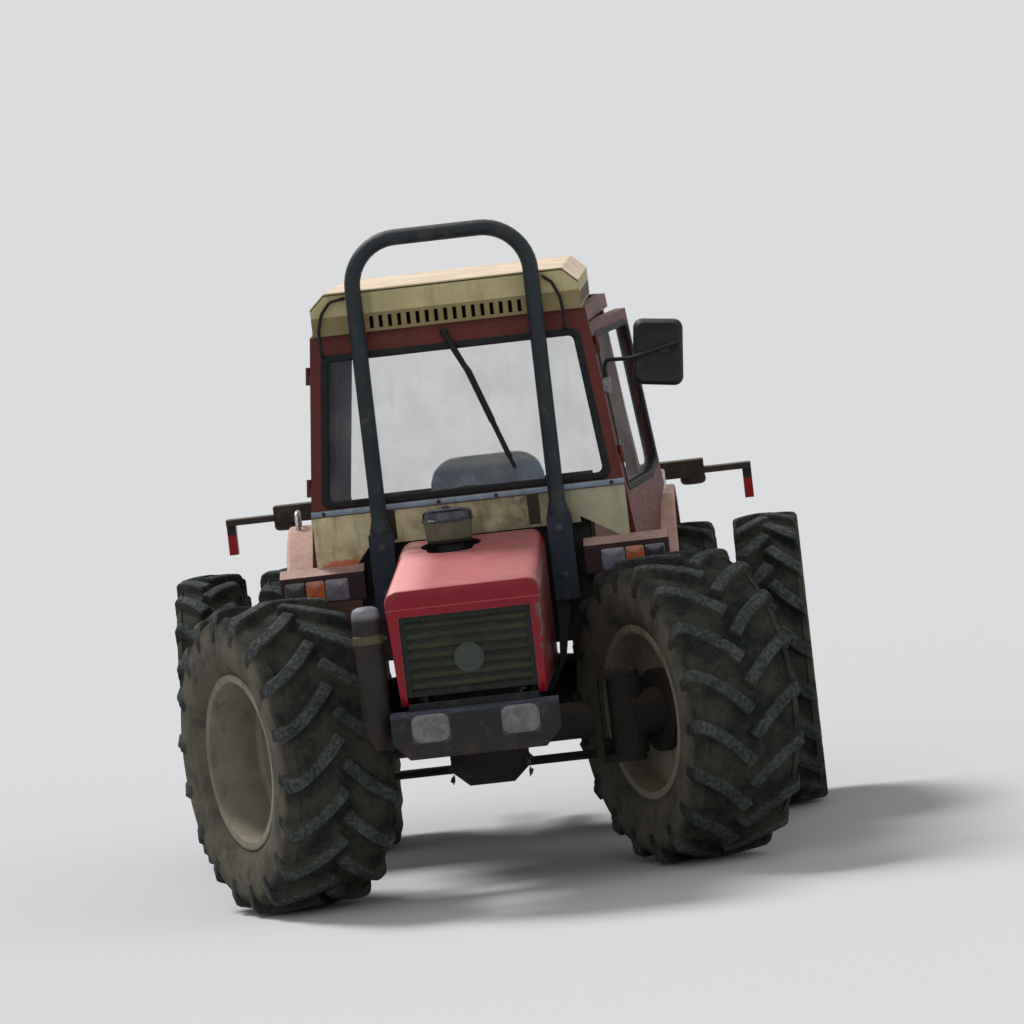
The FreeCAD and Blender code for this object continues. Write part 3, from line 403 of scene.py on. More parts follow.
def carcass(shape, wheel, half, crown):
    """Tyre body: a closed section of tread, shoulders, bulged sidewalls and beads, turned round the axle."""
    root = crown - LUG_HEIGHT
    rim_half = half * 0.8
    side = [(half * 0.86, root - CROWN_DROP * 0.8), (half * 0.97, root - 0.022), (half * 0.992, root - 0.06),
            (half * 0.992, (root + BEAD) / 2 + 0.005), (half * 0.95, BEAD + 0.058), (rim_half + 0.010, BEAD + 0.03),
            (rim_half - 0.002, BEAD + 0.016), (rim_half - 0.006, BEAD + 0.001)]
    tread = np.linspace(-0.8, 0.8, 13)
    middle = np.stack((tread * half, tread_radius(tread, root)), 1)
    right = smooth_line(side, 4)
    ribs = np.isclose(right[:, 1], BEAD + 0.058, atol=0.006) | np.isclose(right[:, 1], BEAD + 0.095, atol=0.005)
    right[ribs] += (0.0015, 0.0)
    outline = np.vstack((right[::-1] * (-1, 1), middle, right))
    turn = np.linspace(0, 2 * np.pi, 96, endpoint=False)[:, None]
    packed = 1 - np.clip((root - CROWN_DROP - outline[:, 1]) / 0.05, 0, 1)
    shape.grid(around(wheel, outline[None, :, 0], outline[None, :, 1], turn), rows=True, columns=True,
               value=-0.5 * (1 - packed)[None, :])


def lugs(shape, wheel, half, crown, count, skew):
    """Lugs: a rounded block section carried along a curve that starts near the middle of the tread,
    leans more the nearer it is to the middle, and ends part of the way down the sidewall."""
    along = np.concatenate(((-0.03, 0.0, 0.02), np.linspace(0.08, 0.86, 9), (0.93, 0.975, 0.99, 0.995)))
    rise = np.concatenate(((0.0, 0.75, 1.0), np.ones(9), (1.0, 0.95, 0.86, 0.0)))
    down = np.concatenate((np.zeros(12), (0.006, 0.024, 0.052, 0.058)))
    widen = np.concatenate(((0.9, 1.0, 1.08), np.linspace(1.05, 0.95, 9), (1.0, 1.1, 1.15, 1.15)))
    profile = np.array([(-1.75, -0.25), (-1.28, 0.12), (-1.08, 0.5), (-0.98, 0.88), (-0.82, 0.99), (-0.4, 1.0),
                        (0.4, 1.0), (0.82, 0.99), (0.98, 0.88), (1.08, 0.5), (1.28, 0.12), (1.75, -0.25)])
    rows = np.arange(count)[:, None, None]
    for side, start in ((1, 0.0), (-1, 0.5)):
        share = along[None, :, None]
        lean = math.radians(skew) * (1 - (1 - np.clip(share, 0, 1)) ** 1.45)
        slope = math.radians(skew) * 1.45 * (1 - np.clip(share, 0, 0.98)) ** 0.45 * crown / half
        spread = profile[None, None, :, 0] * LUG_HALF * widen[None, :, None]
        across = share - spread * np.sin(np.arctan(slope)) / half * 0.9
        turn = 2 * np.pi * (rows + start) / count + lean + spread * np.cos(np.arctan(slope)) / crown
        root = tread_radius(np.clip(across, -0.2, 1), crown) - LUG_HEIGHT - down[None, :, None]
        top = np.clip(profile[None, None, :, 1], 0, 1) * rise[None, :, None]
        height = LUG_HEIGHT * np.where(top > 0, top, -0.25)
        limit = np.clip(across, -0.2, 0.992 + 0.006 * np.clip(profile[None, None, :, 1], 0, 1))
        radius = np.minimum(root + height, crown - CROWN_DROP * np.clip(across, 0, 1) ** 2)
        shape.grid(around(wheel, side * limit * half, radius, turn), ends=True, columns=True,
                   value=np.broadcast_to(top, radius.shape))


def rubber():
    """Dark rubber: worn grey under a painted bluish sheen on the lugs' tops, brown soil in the grooves, pale dust on
    the sidewalls.
    """
    f = Finish("rubber_dusty", Specular_IOR_Level=0.12)
    worn = f.node("ShaderNodeAttribute", {"attribute_name": "value"}, out="Fac")
    top = f.between(worn, 0.6, 1.0)
    wall = f.between(worn, -0.05, -0.45)
    fine, broad = f.cloud(0.012, 0.35, 0.7, 6.0), f.cloud(0.09, 0.35, 0.65, 5.0)
    base = f.mix(fine, tone(24, 28, 28), tone(40, 44, 43))
    # Lugs' tops: worn grey rubber with a painted bluish sheen over it, a painted highlight.
    base = f.mix(top * (0.25 + 0.5 * fine) * (0.4 + 0.6 * broad), base, tone(88, 94, 92))
    soil = (1 - top) * broad * 0.55
    base = f.mix(soil, base, tone(74, 70, 58))
    base = f.mix(wall * (0.4 + 0.4 * broad), base, tone(96, 90, 79))
    f.set("Base Color", base).set("Roughness", 0.95 - 0.28 * top * fine)
    return f.bump(f.cloud(0.004, 0.3, 0.7, 5.0) + 2.0 * broad, 0.0009)


def tyres():
    finish = rubber()
    for node in [n for n in frame["nodes"] if "_tyre_" in n]:
        kind = node.rsplit("_", 1)[0]
        low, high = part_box(node)
        wheel = wheel_frame(node)
        crown = (high[2] - low[2]) / 2 - 0.0004
        wide = (high[0] - low[0]) / 2
        if kind == "front_tyre":
            wide = MAIN_HALF
        shape = Shape()
        carcass(shape, wheel, wide, crown)
        lugs(shape, wheel, wide, crown, LUG_COUNT[kind], LUG_SKEW[kind])
        shape.make(node + "_lugged", finish, body_of(node), "tyre", (node,), smooth=42)


tyres()

# Rims: pressed steel wheels in a beige enamel that has gone grey and rusty. Each is a rolled
# barrel with curled flanges round a dished disc, held to its hub by a ring of nuts.
# The outer twin rims stand off on a welded drum.
NUTS = 8
NUT_RING = 0.105
DISC_FACE = -0.061         # outer face of a main disc, from the tyre's middle


def turned(shape, wheel, outline, sides=64, closed=False, value=0.0):
    """Outline of (along, radius) points turned round the frame's axle."""
    outline = np.asarray(outline, float)
    turn = np.linspace(0, 2 * np.pi, sides, endpoint=False)[:, None]
    return shape.grid(around(wheel, outline[None, :, 0], outline[None, :, 1], turn), rows=True, columns=closed,
                      value=value)


def bolts(shape, places, along, size=0.009, height=0.007):
    """Hexagon heads on round washers at these places, all standing off in one direction."""
    along = unit(np.asarray(along, float))
    side = unit(np.cross(along, (0.31, 0.87, 0.38)))
    other = np.cross(along, side)
    places = np.atleast_2d(np.asarray(places, float))[:, None, None, :]
    for sides, half, rise in ((16, size * 1.55, height * 0.3), (6, size, height), (10, size * 0.5, height * 1.5)):
        turn = np.linspace(0, 2 * np.pi, sides, endpoint=False)[:, None]
        ring = half * (np.cos(turn) * side + np.sin(turn) * other)
        shape.grid(places + ring + np.array((-0.002, rise))[:, None, None] * along, columns=True, ends=True)
    return shape


def coat(name, colour, bare, worn=0.5, dust=0.4, runs=0.25, rough=0.5, size=0.12, soil=(120, 108, 88),
         metal=0.0, soft=0.002, grit=0.0004, gloss=0.2):
    """Old paint or skin: two tones in clouds, dark runs, soil where it faces up, bare edges and grit."""
    f = Finish(name, Metallic=metal, Specular_IOR_Level=gloss)
    broad, fine = f.cloud(size, 0.32, 0.68, 5.0), f.cloud(0.011, 0.38, 0.66, 6.0)
    shade = tuple(c * 0.66 for c in colour[:3]) + (1.0,)
    f.base = f.mix(broad * 0.75, colour, shade)
    f.base = f.mix(f.cloud(0.05, 0.5, 0.74, 5.0, (1.0, 1.0, 0.14)) * runs, f.base, tone(58, 46, 36))
    f.base = f.mix((0.35 + 0.65 * fine) * f.facing_up() * dust, f.base, tone(*soil))
    f.base = f.mix(f.cloud(0.06, 0.56, 0.72, 6.0) * 0.4 * dust, f.base, tone(*soil))
    f.base = f.mix(f.edges(0.0045) * f.cloud(0.035, 0.4, 0.6) * worn, f.base, bare)
    f.set("Base Color", f.base).set("Roughness", rough + 0.22 * fine)
    return f.bump(f.cloud(0.003, 0.3, 0.7, 4.0) + 1.5 * broad, grit, soft=soft)


def rim_outline(half, disc, hole):
    """Closed section of a rim: curled flanges, bead seats, barrel and a stepped disc; disc is its outer face."""
    seat, curl, inner = 0.2535, 0.276, 0.2445
    flare = min(1.0, (half - 0.010 - disc) / 0.062)    # a shallow rim has room for less of the disc's dish
    return [(half + 0.010, 0.2665), (half + 0.0095, 0.2725), (half + 0.006, curl), (half + 0.001, 0.2745),
            (half, 0.269), (half, seat), (-half, seat), (-half, 0.269), (-half - 0.001, 0.2745),
            (-half - 0.006, curl), (-half - 0.0095, 0.2725), (-half - 0.010, 0.2665), (-half - 0.007, 0.251),
            (-half + 0.006, inner), (disc - 0.012, inner), (disc - 0.014, 0.230), (disc - 0.014, hole),
            (disc, hole), (disc, 0.158), (disc + 0.012 * flare, 0.172), (disc + 0.019 * flare, 0.196),
            (disc + 0.022 * flare, 0.212), (disc + 0.034 * flare, 0.219), (disc + 0.05 * flare, 0.222),
            (disc + 0.058 * flare, 0.229), (disc + 0.062 * flare, inner),
            (half - 0.006, inner), (half + 0.007, 0.251)]


def rims():
    finish = coat("rim_enamel", tone(126, 120, 104), tone(96, 74, 52), worn=0.9, dust=0.55, runs=0.5, rough=0.55)
    for node in [n for n in frame["nodes"] if "_rim_" in n]:
        tyre_node = node.replace("_rim_", "_tyre_")
        wheel = wheel_frame(tyre_node)
        twin = node.startswith("twin")
        half = 0.086 if twin else 0.148
        disc = 0.043 + 0.007 if twin else DISC_FACE
        hole = 0.1105 if twin else 0.0755
        shape = Shape()
        turned(shape, wheel, rim_outline(half, disc, hole), 72, closed=True)
        turn = np.linspace(0, 2 * np.pi, NUTS, endpoint=False)
        bolts(shape, around(wheel, np.full(NUTS, disc), np.full(NUTS, 0.135 if twin else NUT_RING), turn), wheel[1],
              0.0115, 0.012)
        if twin:
            inner_end = -(wheel[0][0] * np.sign(wheel[0][0]) - 0.572) + 0.158
            turned(shape, wheel, [(inner_end, 0.2535), (-half - 0.010, 0.2535), (-half - 0.010, 0.2615),
                                  (inner_end, 0.2615)], 72, closed=True)
        shape.make(node + "_pressed", finish, body_of(node), "rim", (node,), smooth=30)


rims()

# Running gear: cast and forged iron, once painted, now one skin of oil, soil and rust. The front axle
# hangs under the engine rails, its knuckles swing on kingpins and a bar ties them. Behind it come
# the gearbox, the rear axle's trumpets and the three-point linkage.
IRON = ("front_axle", "knuckle_left", "knuckle_right", "tie_rod", "chassis_frame", "transmission_case", "rear_axle",
        "engine_block", "cab_mounts")
LINKAGE = ("lower_link_left", "lower_link_right", "lift_rod_left", "lift_rod_right", "lift_arms", "drawbar")


def dress(names, finish):
    """Gives solids that keep their own shape a finish."""
    for name in names:
        mesh = frame["nodes"][name].data
        mesh.materials.clear()
        mesh.materials.append(finish.material)


def gear_bolts():
    """Bolt heads round both ends of the axle's differential case and on the kingpin ears."""
    finish = coat("bolt_iron", tone(70, 62, 52), tone(120, 116, 110), dust=0.6, rough=0.6, metal=0.3)
    low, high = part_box("front_axle")
    shape = Shape()
    turn = np.linspace(0, 2 * np.pi, 10, endpoint=False)
    for sign in (-1, 1):
        ring = np.stack((np.full(10, sign * 0.120), -0.780 + 0.106 * np.cos(turn), 0.4405 + 0.106 * np.sin(turn)), 1)
        bolts(shape, ring, (sign, 0, 0), 0.008, 0.006)
    ears = np.array([(s * (0.440 + dx), -0.780 + dy, high[2] - 0.001) for s in (-1, 1) for dx in (-0.026, 0.026)
                     for dy in (-0.026, 0.026)])
    bolts(shape, ears, (0, 0, 1), 0.0075, 0.006)
    shape.make("front_axle_bolts", finish, body_of("front_axle"), "steel")


dress(IRON, coat("oily_iron", tone(42, 38, 34), tone(98, 80, 62), worn=0.5, dust=0.75, runs=0.4, rough=0.62,
                 size=0.07, soil=(78, 68, 54), soft=0.005, grit=0.0012))
dress(LINKAGE, coat("linkage_steel", tone(66, 60, 54), tone(140, 134, 126), worn=0.8, dust=0.5, rough=0.5, metal=0.35,
                    size=0.06, soft=0.003, grit=0.0008))
gear_bolts()

# Bumper: one heavy casting in slate paint bolted over the rails' ends, its upper lip worn and
# painted with a bluish highlight. Two rectangular headlamps of milky moulded glass sit in its pockets.
LAMP_CORNER = 0.030
POCKET_CORNER = 0.019      # so that the bezel covers the corners of its pocket


def softened(points, radius, steps=6, closed=True):
    """Line with each corner turned into a true arc of this radius, drawn as a weighted quadratic curve."""
    points = np.asarray(points, float)
    back, on = unit(np.roll(points, 1, 0) - points), unit(np.roll(points, -1, 0) - points)
    half = np.arccos(np.clip(-(back * on).sum(1), -1, 1)) / 2
    reach = (np.broadcast_to(radius, len(points)) * np.tan(np.where(half > 1.5, 0, half)))[:, None]
    t = np.linspace(0, 1, steps)[None, :, None]
    start, middle, end = (1 - t) ** 2, 2 * t * (1 - t) * np.cos(half)[:, None, None], t * t
    curve = start * (points + back * reach)[:, None] + middle * points[:, None] + end * (points + on * reach)[:, None]
    curve /= start + middle + end
    if closed:
        return curve.reshape(-1, points.shape[1])
    return np.vstack((points[:1], curve[1:-1].reshape(-1, points.shape[1]), points[-1:]))


def frontal(outline, y):
    """Outline of (x, z) points stood up at y; y may be one value or one for each point."""
    outline = np.asarray(outline, float)
    return np.stack((outline[:, 0], np.broadcast_to(y, len(outline)), outline[:, 1]), 1)


def bumper():
    f = coat("bumper_slate", tone(30, 33, 34), tone(98, 84, 74), worn=0.55, dust=0.3, runs=0.3, rough=0.5, size=0.09,
             soft=0.006)
    height = f.part(f.place, 2)
    # Painted highlight: a bluish band along the upper lip, standing for the sky's light on it.
    lip_highlight = f.between(height, 0.604, 0.612) * (0.5 + 0.5 * f.cloud(0.05))
    f.base = f.mix(lip_highlight * 0.45, f.base, tone(78, 84, 108))
    f.base = f.mix(f.between(height, 0.55, 0.48) * f.cloud(0.05, 0.4, 0.7) * 0.5, f.base, tone(74, 52, 42))
    f.set("Base Color", f.base)
    dress(["front_bumper"], f)


def headlamps():
    low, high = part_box("headlamps")
    face, half_w, half_h = low[1], 0.0598, (high[2] - low[2]) / 2
    middle_z = (low[2] + high[2]) / 2
    f = Finish("lamp_glass", Coat_Weight=0.6, Coat_Roughness=0.08)
    depth = f.node("ShaderNodeAttribute", {"attribute_name": "value"}, out="Fac")
    flutes = f.node("ShaderNodeTexWave", {"bands_direction": "X"}, {"Vector": f.place, "Scale": 28.0, "Distortion": 0.3})
    milky = f.mix(f.cloud(0.04, 0.35, 0.65), tone(54, 56, 58), tone(88, 92, 92))
    milky = f.mix(f.between(depth, 0.45, 0.0) * 0.7, milky, tone(46, 47, 48))
    milky = f.mix(f.between(depth, 0.55, 0.95) * f.cloud(0.025) * 0.7, milky, tone(54, 46, 56))
    milky = f.mix(flutes * 0.18, milky, tone(66, 66, 70))
    f.set("Base Color", milky).set("Roughness", 0.28 + 0.2 * f.cloud(0.01))
    f.bump(flutes, 0.0004)
    rows = np.array([(1.0, 0.036, 0.0), (1.0, 0.004, 0.0), (0.985, 0.0015, 0.0), (0.93, 0.0006, 0.25),
                     (0.72, 0.0002, 0.6), (0.4, 0.0, 0.9), (0.0, 0.0, 1.0)])
    shape = Shape()
    for middle_x in (low[0] + half_w + 0.0002, high[0] - half_w - 0.0002):
        outline = softened([(-half_w, -half_h), (half_w, -half_h), (half_w, half_h), (-half_w, half_h)], LAMP_CORNER)
        grid = np.stack([frontal(outline * scale + (middle_x, middle_z), face + y) for scale, y, _ in rows])
        shape.grid(grid, columns=True, value=rows[:, 2:])
        shape.grid(grid[:1, ::-1], ends=False)
    shape.make("headlamp_glasses", f, body_of("headlamps"), "lens", ("headlamps",))
    f = Finish("lamp_bezel", Roughness=0.55)
    f.set("Base Color", f.mix(f.cloud(0.03), tone(24, 24, 27), tone(44, 42, 42)))
    shape = Shape()
    for middle_x in (low[0] + half_w, high[0] - half_w):
        rings = []
        for grow, y in ((0.0005, 0.010), (0.0005, 0.0005), (0.003, -0.0005), (0.0065, 0.001), (0.007, 0.004)):
            w, h = half_w + grow, half_h + grow
            outline = softened([(-w, -h), (w, -h), (w, h), (-w, h)], LAMP_CORNER if grow < 0.005 else POCKET_CORNER)
            rings.append(frontal(outline + (middle_x, middle_z), face + y))
        shape.grid(np.stack(rings), rows=True, columns=True)
    shape.make("headlamp_bezels", f, body_of("front_bumper"), "black")


bumper()
headlamps()

# Exhaust: an upright sheet-steel can beside the grille, brown-grey with heat, its dome worn and
# painted pale as a highlight, and a clamp band round it. Its pipe turns in under the bonnet.
UPRIGHT = (np.array((0.0, 0.0, 1.0)), np.array((0.0, -1.0, 0.0)), np.array((1.0, 0.0, 0.0)))


def tube(shape, path, radius, sides=16, value=0.0):
    """Round bar along an open path; its section is carried on without twist."""
    path = np.asarray(path, float)
    step = unit(np.gradient(path, axis=0))
    side = unit(np.cross(step[0], (0.29, 0.61, 0.74)))
    sides_at = []
    for along in step:
        side = unit(side - along * side.dot(along))
        sides_at.append(side)
    side = np.array(sides_at)
    other = np.cross(step, side)
    turn = np.linspace(0, 2 * np.pi, sides, endpoint=False)[None, :, None]
    reach = np.broadcast_to(radius, len(path))[:, None, None]
    ring = path[:, None] + reach * (np.cos(turn) * side[:, None] + np.sin(turn) * other[:, None])
    return shape.grid(ring, columns=True, ends=True, value=value)


def exhaust():
    low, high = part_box("exhaust_silencer")
    x, y, z = low[0] + 0.042, (low[1] + high[1]) / 2, low[2]
    f = coat("exhaust_skin", tone(40, 37, 36), tone(96, 76, 58), worn=0.5, dust=0.25, runs=0.45, rough=0.42,
             size=0.06, metal=0.2)
    height = f.part(f.place, 2)
    # Painted highlight: the dome's top is painted pale, partly worn metal and partly the light it catches.
    f.base = f.mix(f.between(height, z + 0.392, z + 0.418) * 0.5, f.base, tone(150, 148, 156))
    clamp = f.between(height, z + 0.3245, z + 0.3255) * f.between(height, z + 0.3515, z + 0.3505)
    f.base = f.mix(clamp * 0.7, f.base, tone(86, 82, 58))
    f.base = f.mix(f.between(height, z + 0.11, z) * f.cloud(0.03) * 0.5, f.base, tone(72, 54, 44))
    f.set("Base Color", f.base)
    shape = Shape()
    r = 0.0445
    outline = [(0.0, 0.0), (0.0, 0.017), (0.004, 0.021), (0.030, 0.034), (0.052, 0.0425), (0.062, r), (0.324, r),
               (0.326, r + 0.0026), (0.350, r + 0.0026), (0.352, r), (0.411, r), (0.424, 0.042), (0.433, 0.036),
               (0.438, 0.024), (0.440, 0.0)]
    turned(shape, (np.array((x, y, z)), *UPRIGHT), outline, 40)
    tube(shape, [(x + 0.030, y, 0.570), (high[0], y, 0.570)], 0.020, 20)
    bolts(shape, [(x + 0.047, y, z + 0.338)], (1, 0, 0), 0.006, 0.008)
    shape.make("exhaust_can", f, body_of("exhaust_silencer"), "exhaust", ("exhaust_silencer",), smooth=40)


def precleaner():
    """Two turned pieces on one upright line: a tan bowl on its neck, then a dark cap with its nut."""
    low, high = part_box("air_precleaner")
    place = (np.array(((low[0] + high[0]) / 2, (low[1] + high[1]) / 2, low[2])), *UPRIGHT)
    bowl = [(0.0, 0.0), (0.0, 0.042), (0.127, 0.042), (0.129, 0.058), (0.133, 0.069), (0.137, 0.0712),
            (0.170, 0.0738), (0.199, 0.0772), (0.204, 0.0775), (0.204, 0.0)]
    cap = [(0.200, 0.0), (0.200, 0.0775), (0.2005, 0.0815), (0.206, 0.082), (0.2085, 0.0795), (0.222, 0.0785),
           (0.230, 0.075), (0.235, 0.066), (0.2375, 0.045), (0.2385, 0.0145), (0.242, 0.014), (0.2445, 0.011),
           (0.2455, 0.006), (0.2455, 0.0)]
    f = coat("bowl_tan", tone(94, 92, 76), tone(70, 60, 50), worn=0.4, dust=0.35, runs=0.6, rough=0.45, size=0.04)
    height = f.part(f.place, 2)
    f.base = f.mix(f.between(height, 1.077, 1.071), f.base, tone(30, 30, 30))
    f.set("Base Color", f.base)
    shape = Shape()
    turned(shape, place, bowl, 56).make("precleaner_bowl", f, body_of("air_precleaner"), "cleaner", (), smooth=35)
    f = coat("cap_dark", tone(20, 24, 40), tone(96, 96, 104), worn=0.12, dust=0.06, rough=0.18, size=0.05,
             soft=0.0, grit=0.0001, gloss=0.5)
    shape = Shape()
    turned(shape, place, cap, 56).make("precleaner_cap", f, body_of("air_precleaner"), "black",
                                       ("air_precleaner",), smooth=35)


exhaust()
precleaner()

# Bonnet: one pressed sheet-steel shell, hinged at its foot in front. Sun has faded its top to pink,
# its front and sides are still crimson, and the paint is gone along the left shoulder. The top is
# also painted paler on the machine's right as painted light, and darker on its left as painted shadow.
# The pre-cleaner stands through an oval hole, and a black-green plastic grille fills the nose.
HOLE_MIDDLE = np.array((-0.060, -0.488))
HOLE_HALF = np.array((0.095, 0.127))
SHOULDER = 0.045           # radius of the upper edges
NOTCH = 0.200              # half the notch under the grille, which runs down to the foot
NOSE_DEEP, NOSE_DROP = 0.034, 0.028    # reach of the curve from the nose's face to the top
NOSE_SQUARE = 0.6          # its power: 1 is a quarter ellipse, less is squarer
NOSE_SIDE = 0.010          # how far the nose draws in at its sides
SHEET = 0.004
TOP_CELLS = 80             # cells along and across the part of the top that the hole lies in


def bonnet_top(y):
    """Height of the top at a station: a straight rise with one small smooth step for the rear panel."""
    low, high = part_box("bonnet")
    share = (y - low[1]) / (high[1] - low[1])
    step = np.clip((y - low[1] - 0.794) / 0.012, 0, 1)
    return 0.990 + (high[2] - 0.008 - 0.990) * share + 0.008 * step * step * (3 - 2 * step)


def bonnet_sheet():
    """Hull over stations y and places round the section: foot, side, round shoulder, top, and back down.
    Near the nose the section draws in by a squared quarter ellipse, so the front edges are round."""
    low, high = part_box("bonnet")
    phi = np.linspace(np.pi / 2, 0, 12)
    y = np.concatenate((low[1] + NOSE_DEEP * (1 - np.sin(phi) ** NOSE_SQUARE), np.linspace(low[1] + 0.06, -0.64, 12),
                        np.linspace(-0.632, high[1], TOP_CELLS)))
    drawn = np.concatenate((1 - np.cos(phi).clip(0, 1) ** NOSE_SQUARE, np.zeros(12 + TOP_CELLS)))
    share = ((y - low[1]) / (high[1] - low[1])).clip(0, 1)
    half, foot = 0.240 - 0.008 * share - NOSE_SIDE * drawn, 0.222 + 0.008 * share - NOSE_SIDE * 0.4 * drawn
    top = bonnet_top(y) - NOSE_DROP * drawn
    turn = np.linspace(0, np.pi / 2, 8)
    side_x = foot[:, None] + (half - foot)[:, None] * np.linspace(0, 1, 7)[:-1]
    side_z = low[2] + (top - SHOULDER - low[2])[:, None] * np.linspace(0, 1, 7)[:-1]
    arc_x = half[:, None] - SHOULDER + SHOULDER * np.cos(turn)
    arc_z = top[:, None] - SHOULDER + SHOULDER * np.sin(turn)
    flat = np.linspace(0.168, -0.168, TOP_CELLS)
    x = np.hstack((side_x, arc_x, np.broadcast_to(flat, (len(y), TOP_CELLS)), -arc_x[:, ::-1], -side_x[:, ::-1]))
    z = np.hstack((side_z, arc_z, np.repeat(top[:, None], TOP_CELLS, 1), arc_z[:, ::-1], side_z[:, ::-1]))
    points = np.stack((x, np.broadcast_to(y[:, None], x.shape), z), -1)
    away = (points[..., :2] - HOLE_MIDDLE) / HOLE_HALF
    reach = np.linalg.norm(away, axis=-1)
    inside = (reach < 1) & (points[..., 2] > 0.95)
    moved = HOLE_MIDDLE + away / np.maximum(reach, 1e-6)[..., None] * HOLE_HALF
    keep = ~(inside[:-1, :-1] & inside[1:, :-1] & inside[:-1, 1:] & inside[1:, 1:])
    points[inside, :2] = moved[inside]
    points[inside, 2] = bonnet_top(moved[inside][:, 1])
    return points, keep


def bonnet():
    g_low, g_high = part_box("grille")
    points, keep = bonnet_sheet()
    shape = Shape()
    shape.grid(points, keep=keep)
    nose = points[0]
    foot = nose[-1] + (nose[0] - nose[-1]) * np.array((0.040, 0.0425, 0.3, 0.5, 0.7, 0.9575, 0.960))[:, None]
    ring = np.vstack((nose, foot))
    opening = np.stack((ring[:, 0].clip(g_low[0] - 0.0005, g_high[0] + 0.0005), ring[:, 1],
                        ring[:, 2].clip(g_low[2] - 0.0005, g_high[2] + 0.0005)), 1)
    sheet = np.stack((ring, opening, opening + (0, 0.012, 0)))
    notch = np.abs(ring[:, 0]) < NOTCH
    low_edge = notch & np.roll(notch, -1) & (ring[:, 2] < g_low[2])
    shape.grid(sheet, columns=True, keep=np.stack((~low_edge, ~low_edge)))
    f = coat("bonnet_paint", tone(124, 16, 30), tone(98, 96, 84), worn=0.7, dust=0.0, runs=0.10, rough=0.36,
             size=0.16, soft=0.0)
    x, y, z = (f.part(f.place, axis) for axis in range(3))
    top_fade_and_light = f.facing_up(0.55, 0.93)
    f.base = f.mix(top_fade_and_light * (0.74 + 0.2 * f.cloud(0.1, 0.35, 0.65)), f.base, tone(186, 112, 110))
    # Painted light: the top is paler on the machine's right, where light fell on it.
    f.base = f.mix(top_fade_and_light * f.between(x, -0.08, -0.19) * 0.8, f.base, tone(236, 168, 162))
    # Painted shadow: darker patches on the top towards the machine's left, where the hoop's shadow fell.
    f.base = f.mix(top_fade_and_light * f.between(x, 0.04, 0.17) * 0.5 * f.cloud(0.05), f.base, tone(136, 96, 88))
    f.base = f.mix(top_fade_and_light * f.cloud(0.02, 0.45, 0.75, 6.0) * 0.25, f.base, tone(170, 132, 120))
    nose_dirt = f.between(z, 0.70, 0.636) * f.cloud(0.03, 0.4, 0.7) * 0.5
    f.base = f.mix(nose_dirt, f.base, tone(60, 34, 32))
    side = f.between(x, 0.206, 0.232) * f.between(y, -1.12, -1.26)
    patch = f.cloud(0.045, 0.50, 0.56, 6.0, (1.0, 0.5, 0.7)) * side * f.between(z, 0.72, 0.80)
    grime = f.between(x, 0.222, 0.234) * (0.45 + 0.4 * f.cloud(0.09)) * f.between(top_fade_and_light, 0.5, 0.1)
    f.base = f.mix(grime, f.base, tone(64, 52, 46))
    f.base = f.mix(patch * 0.9, f.base, tone(84, 84, 72))
    f.set("Base Color", f.base).set("Roughness", 0.34 + 0.2 * top_fade_and_light)
    crease = f.between(z, 0.9255, 0.928) * f.between(z, 0.9335, 0.931) * f.between(y, -1.315, -1.33)
    # Painted highlight: a lighter pink line along the nose's crease, where the fold catches light; the crease is also
    # bumped in.
    f.base = f.mix(crease * 0.35, f.base, tone(176, 92, 88))
    f.set("Base Color", f.base)
    f.bump(f.cloud(0.004, 0.3, 0.7) * 0.15 + crease * -3.0 + f.cloud(0.09) * 0.5, 0.0006)
    piece = shape.make("bonnet_shell", f, body_of("bonnet"), "bonnet_red", ("bonnet",), smooth=30)
    sheet = piece.modifiers.new("sheet", "SOLIDIFY")
    sheet.thickness, sheet.offset = SHEET, -1.0


def extruded(shape, outline, axis, start, end, value=0.0):
    """Prism of a closed outline along one axis; the outline gives the other two, in their order."""
    outline = np.asarray(outline, float)
    rows = []
    for place in (start, end):
        rows.append(np.insert(outline, axis, place, axis=1))
    return shape.grid(np.stack(rows), columns=True, ends=True, value=value)


def block(shape, x, y, z, value=0.0):
    """Plain block between pairs of x, y and z."""
    return extruded(shape, [(y[0], z[0]), (y[1], z[0]), (y[1], z[1]), (y[0], z[1])], 0, x[0], x[1], value)


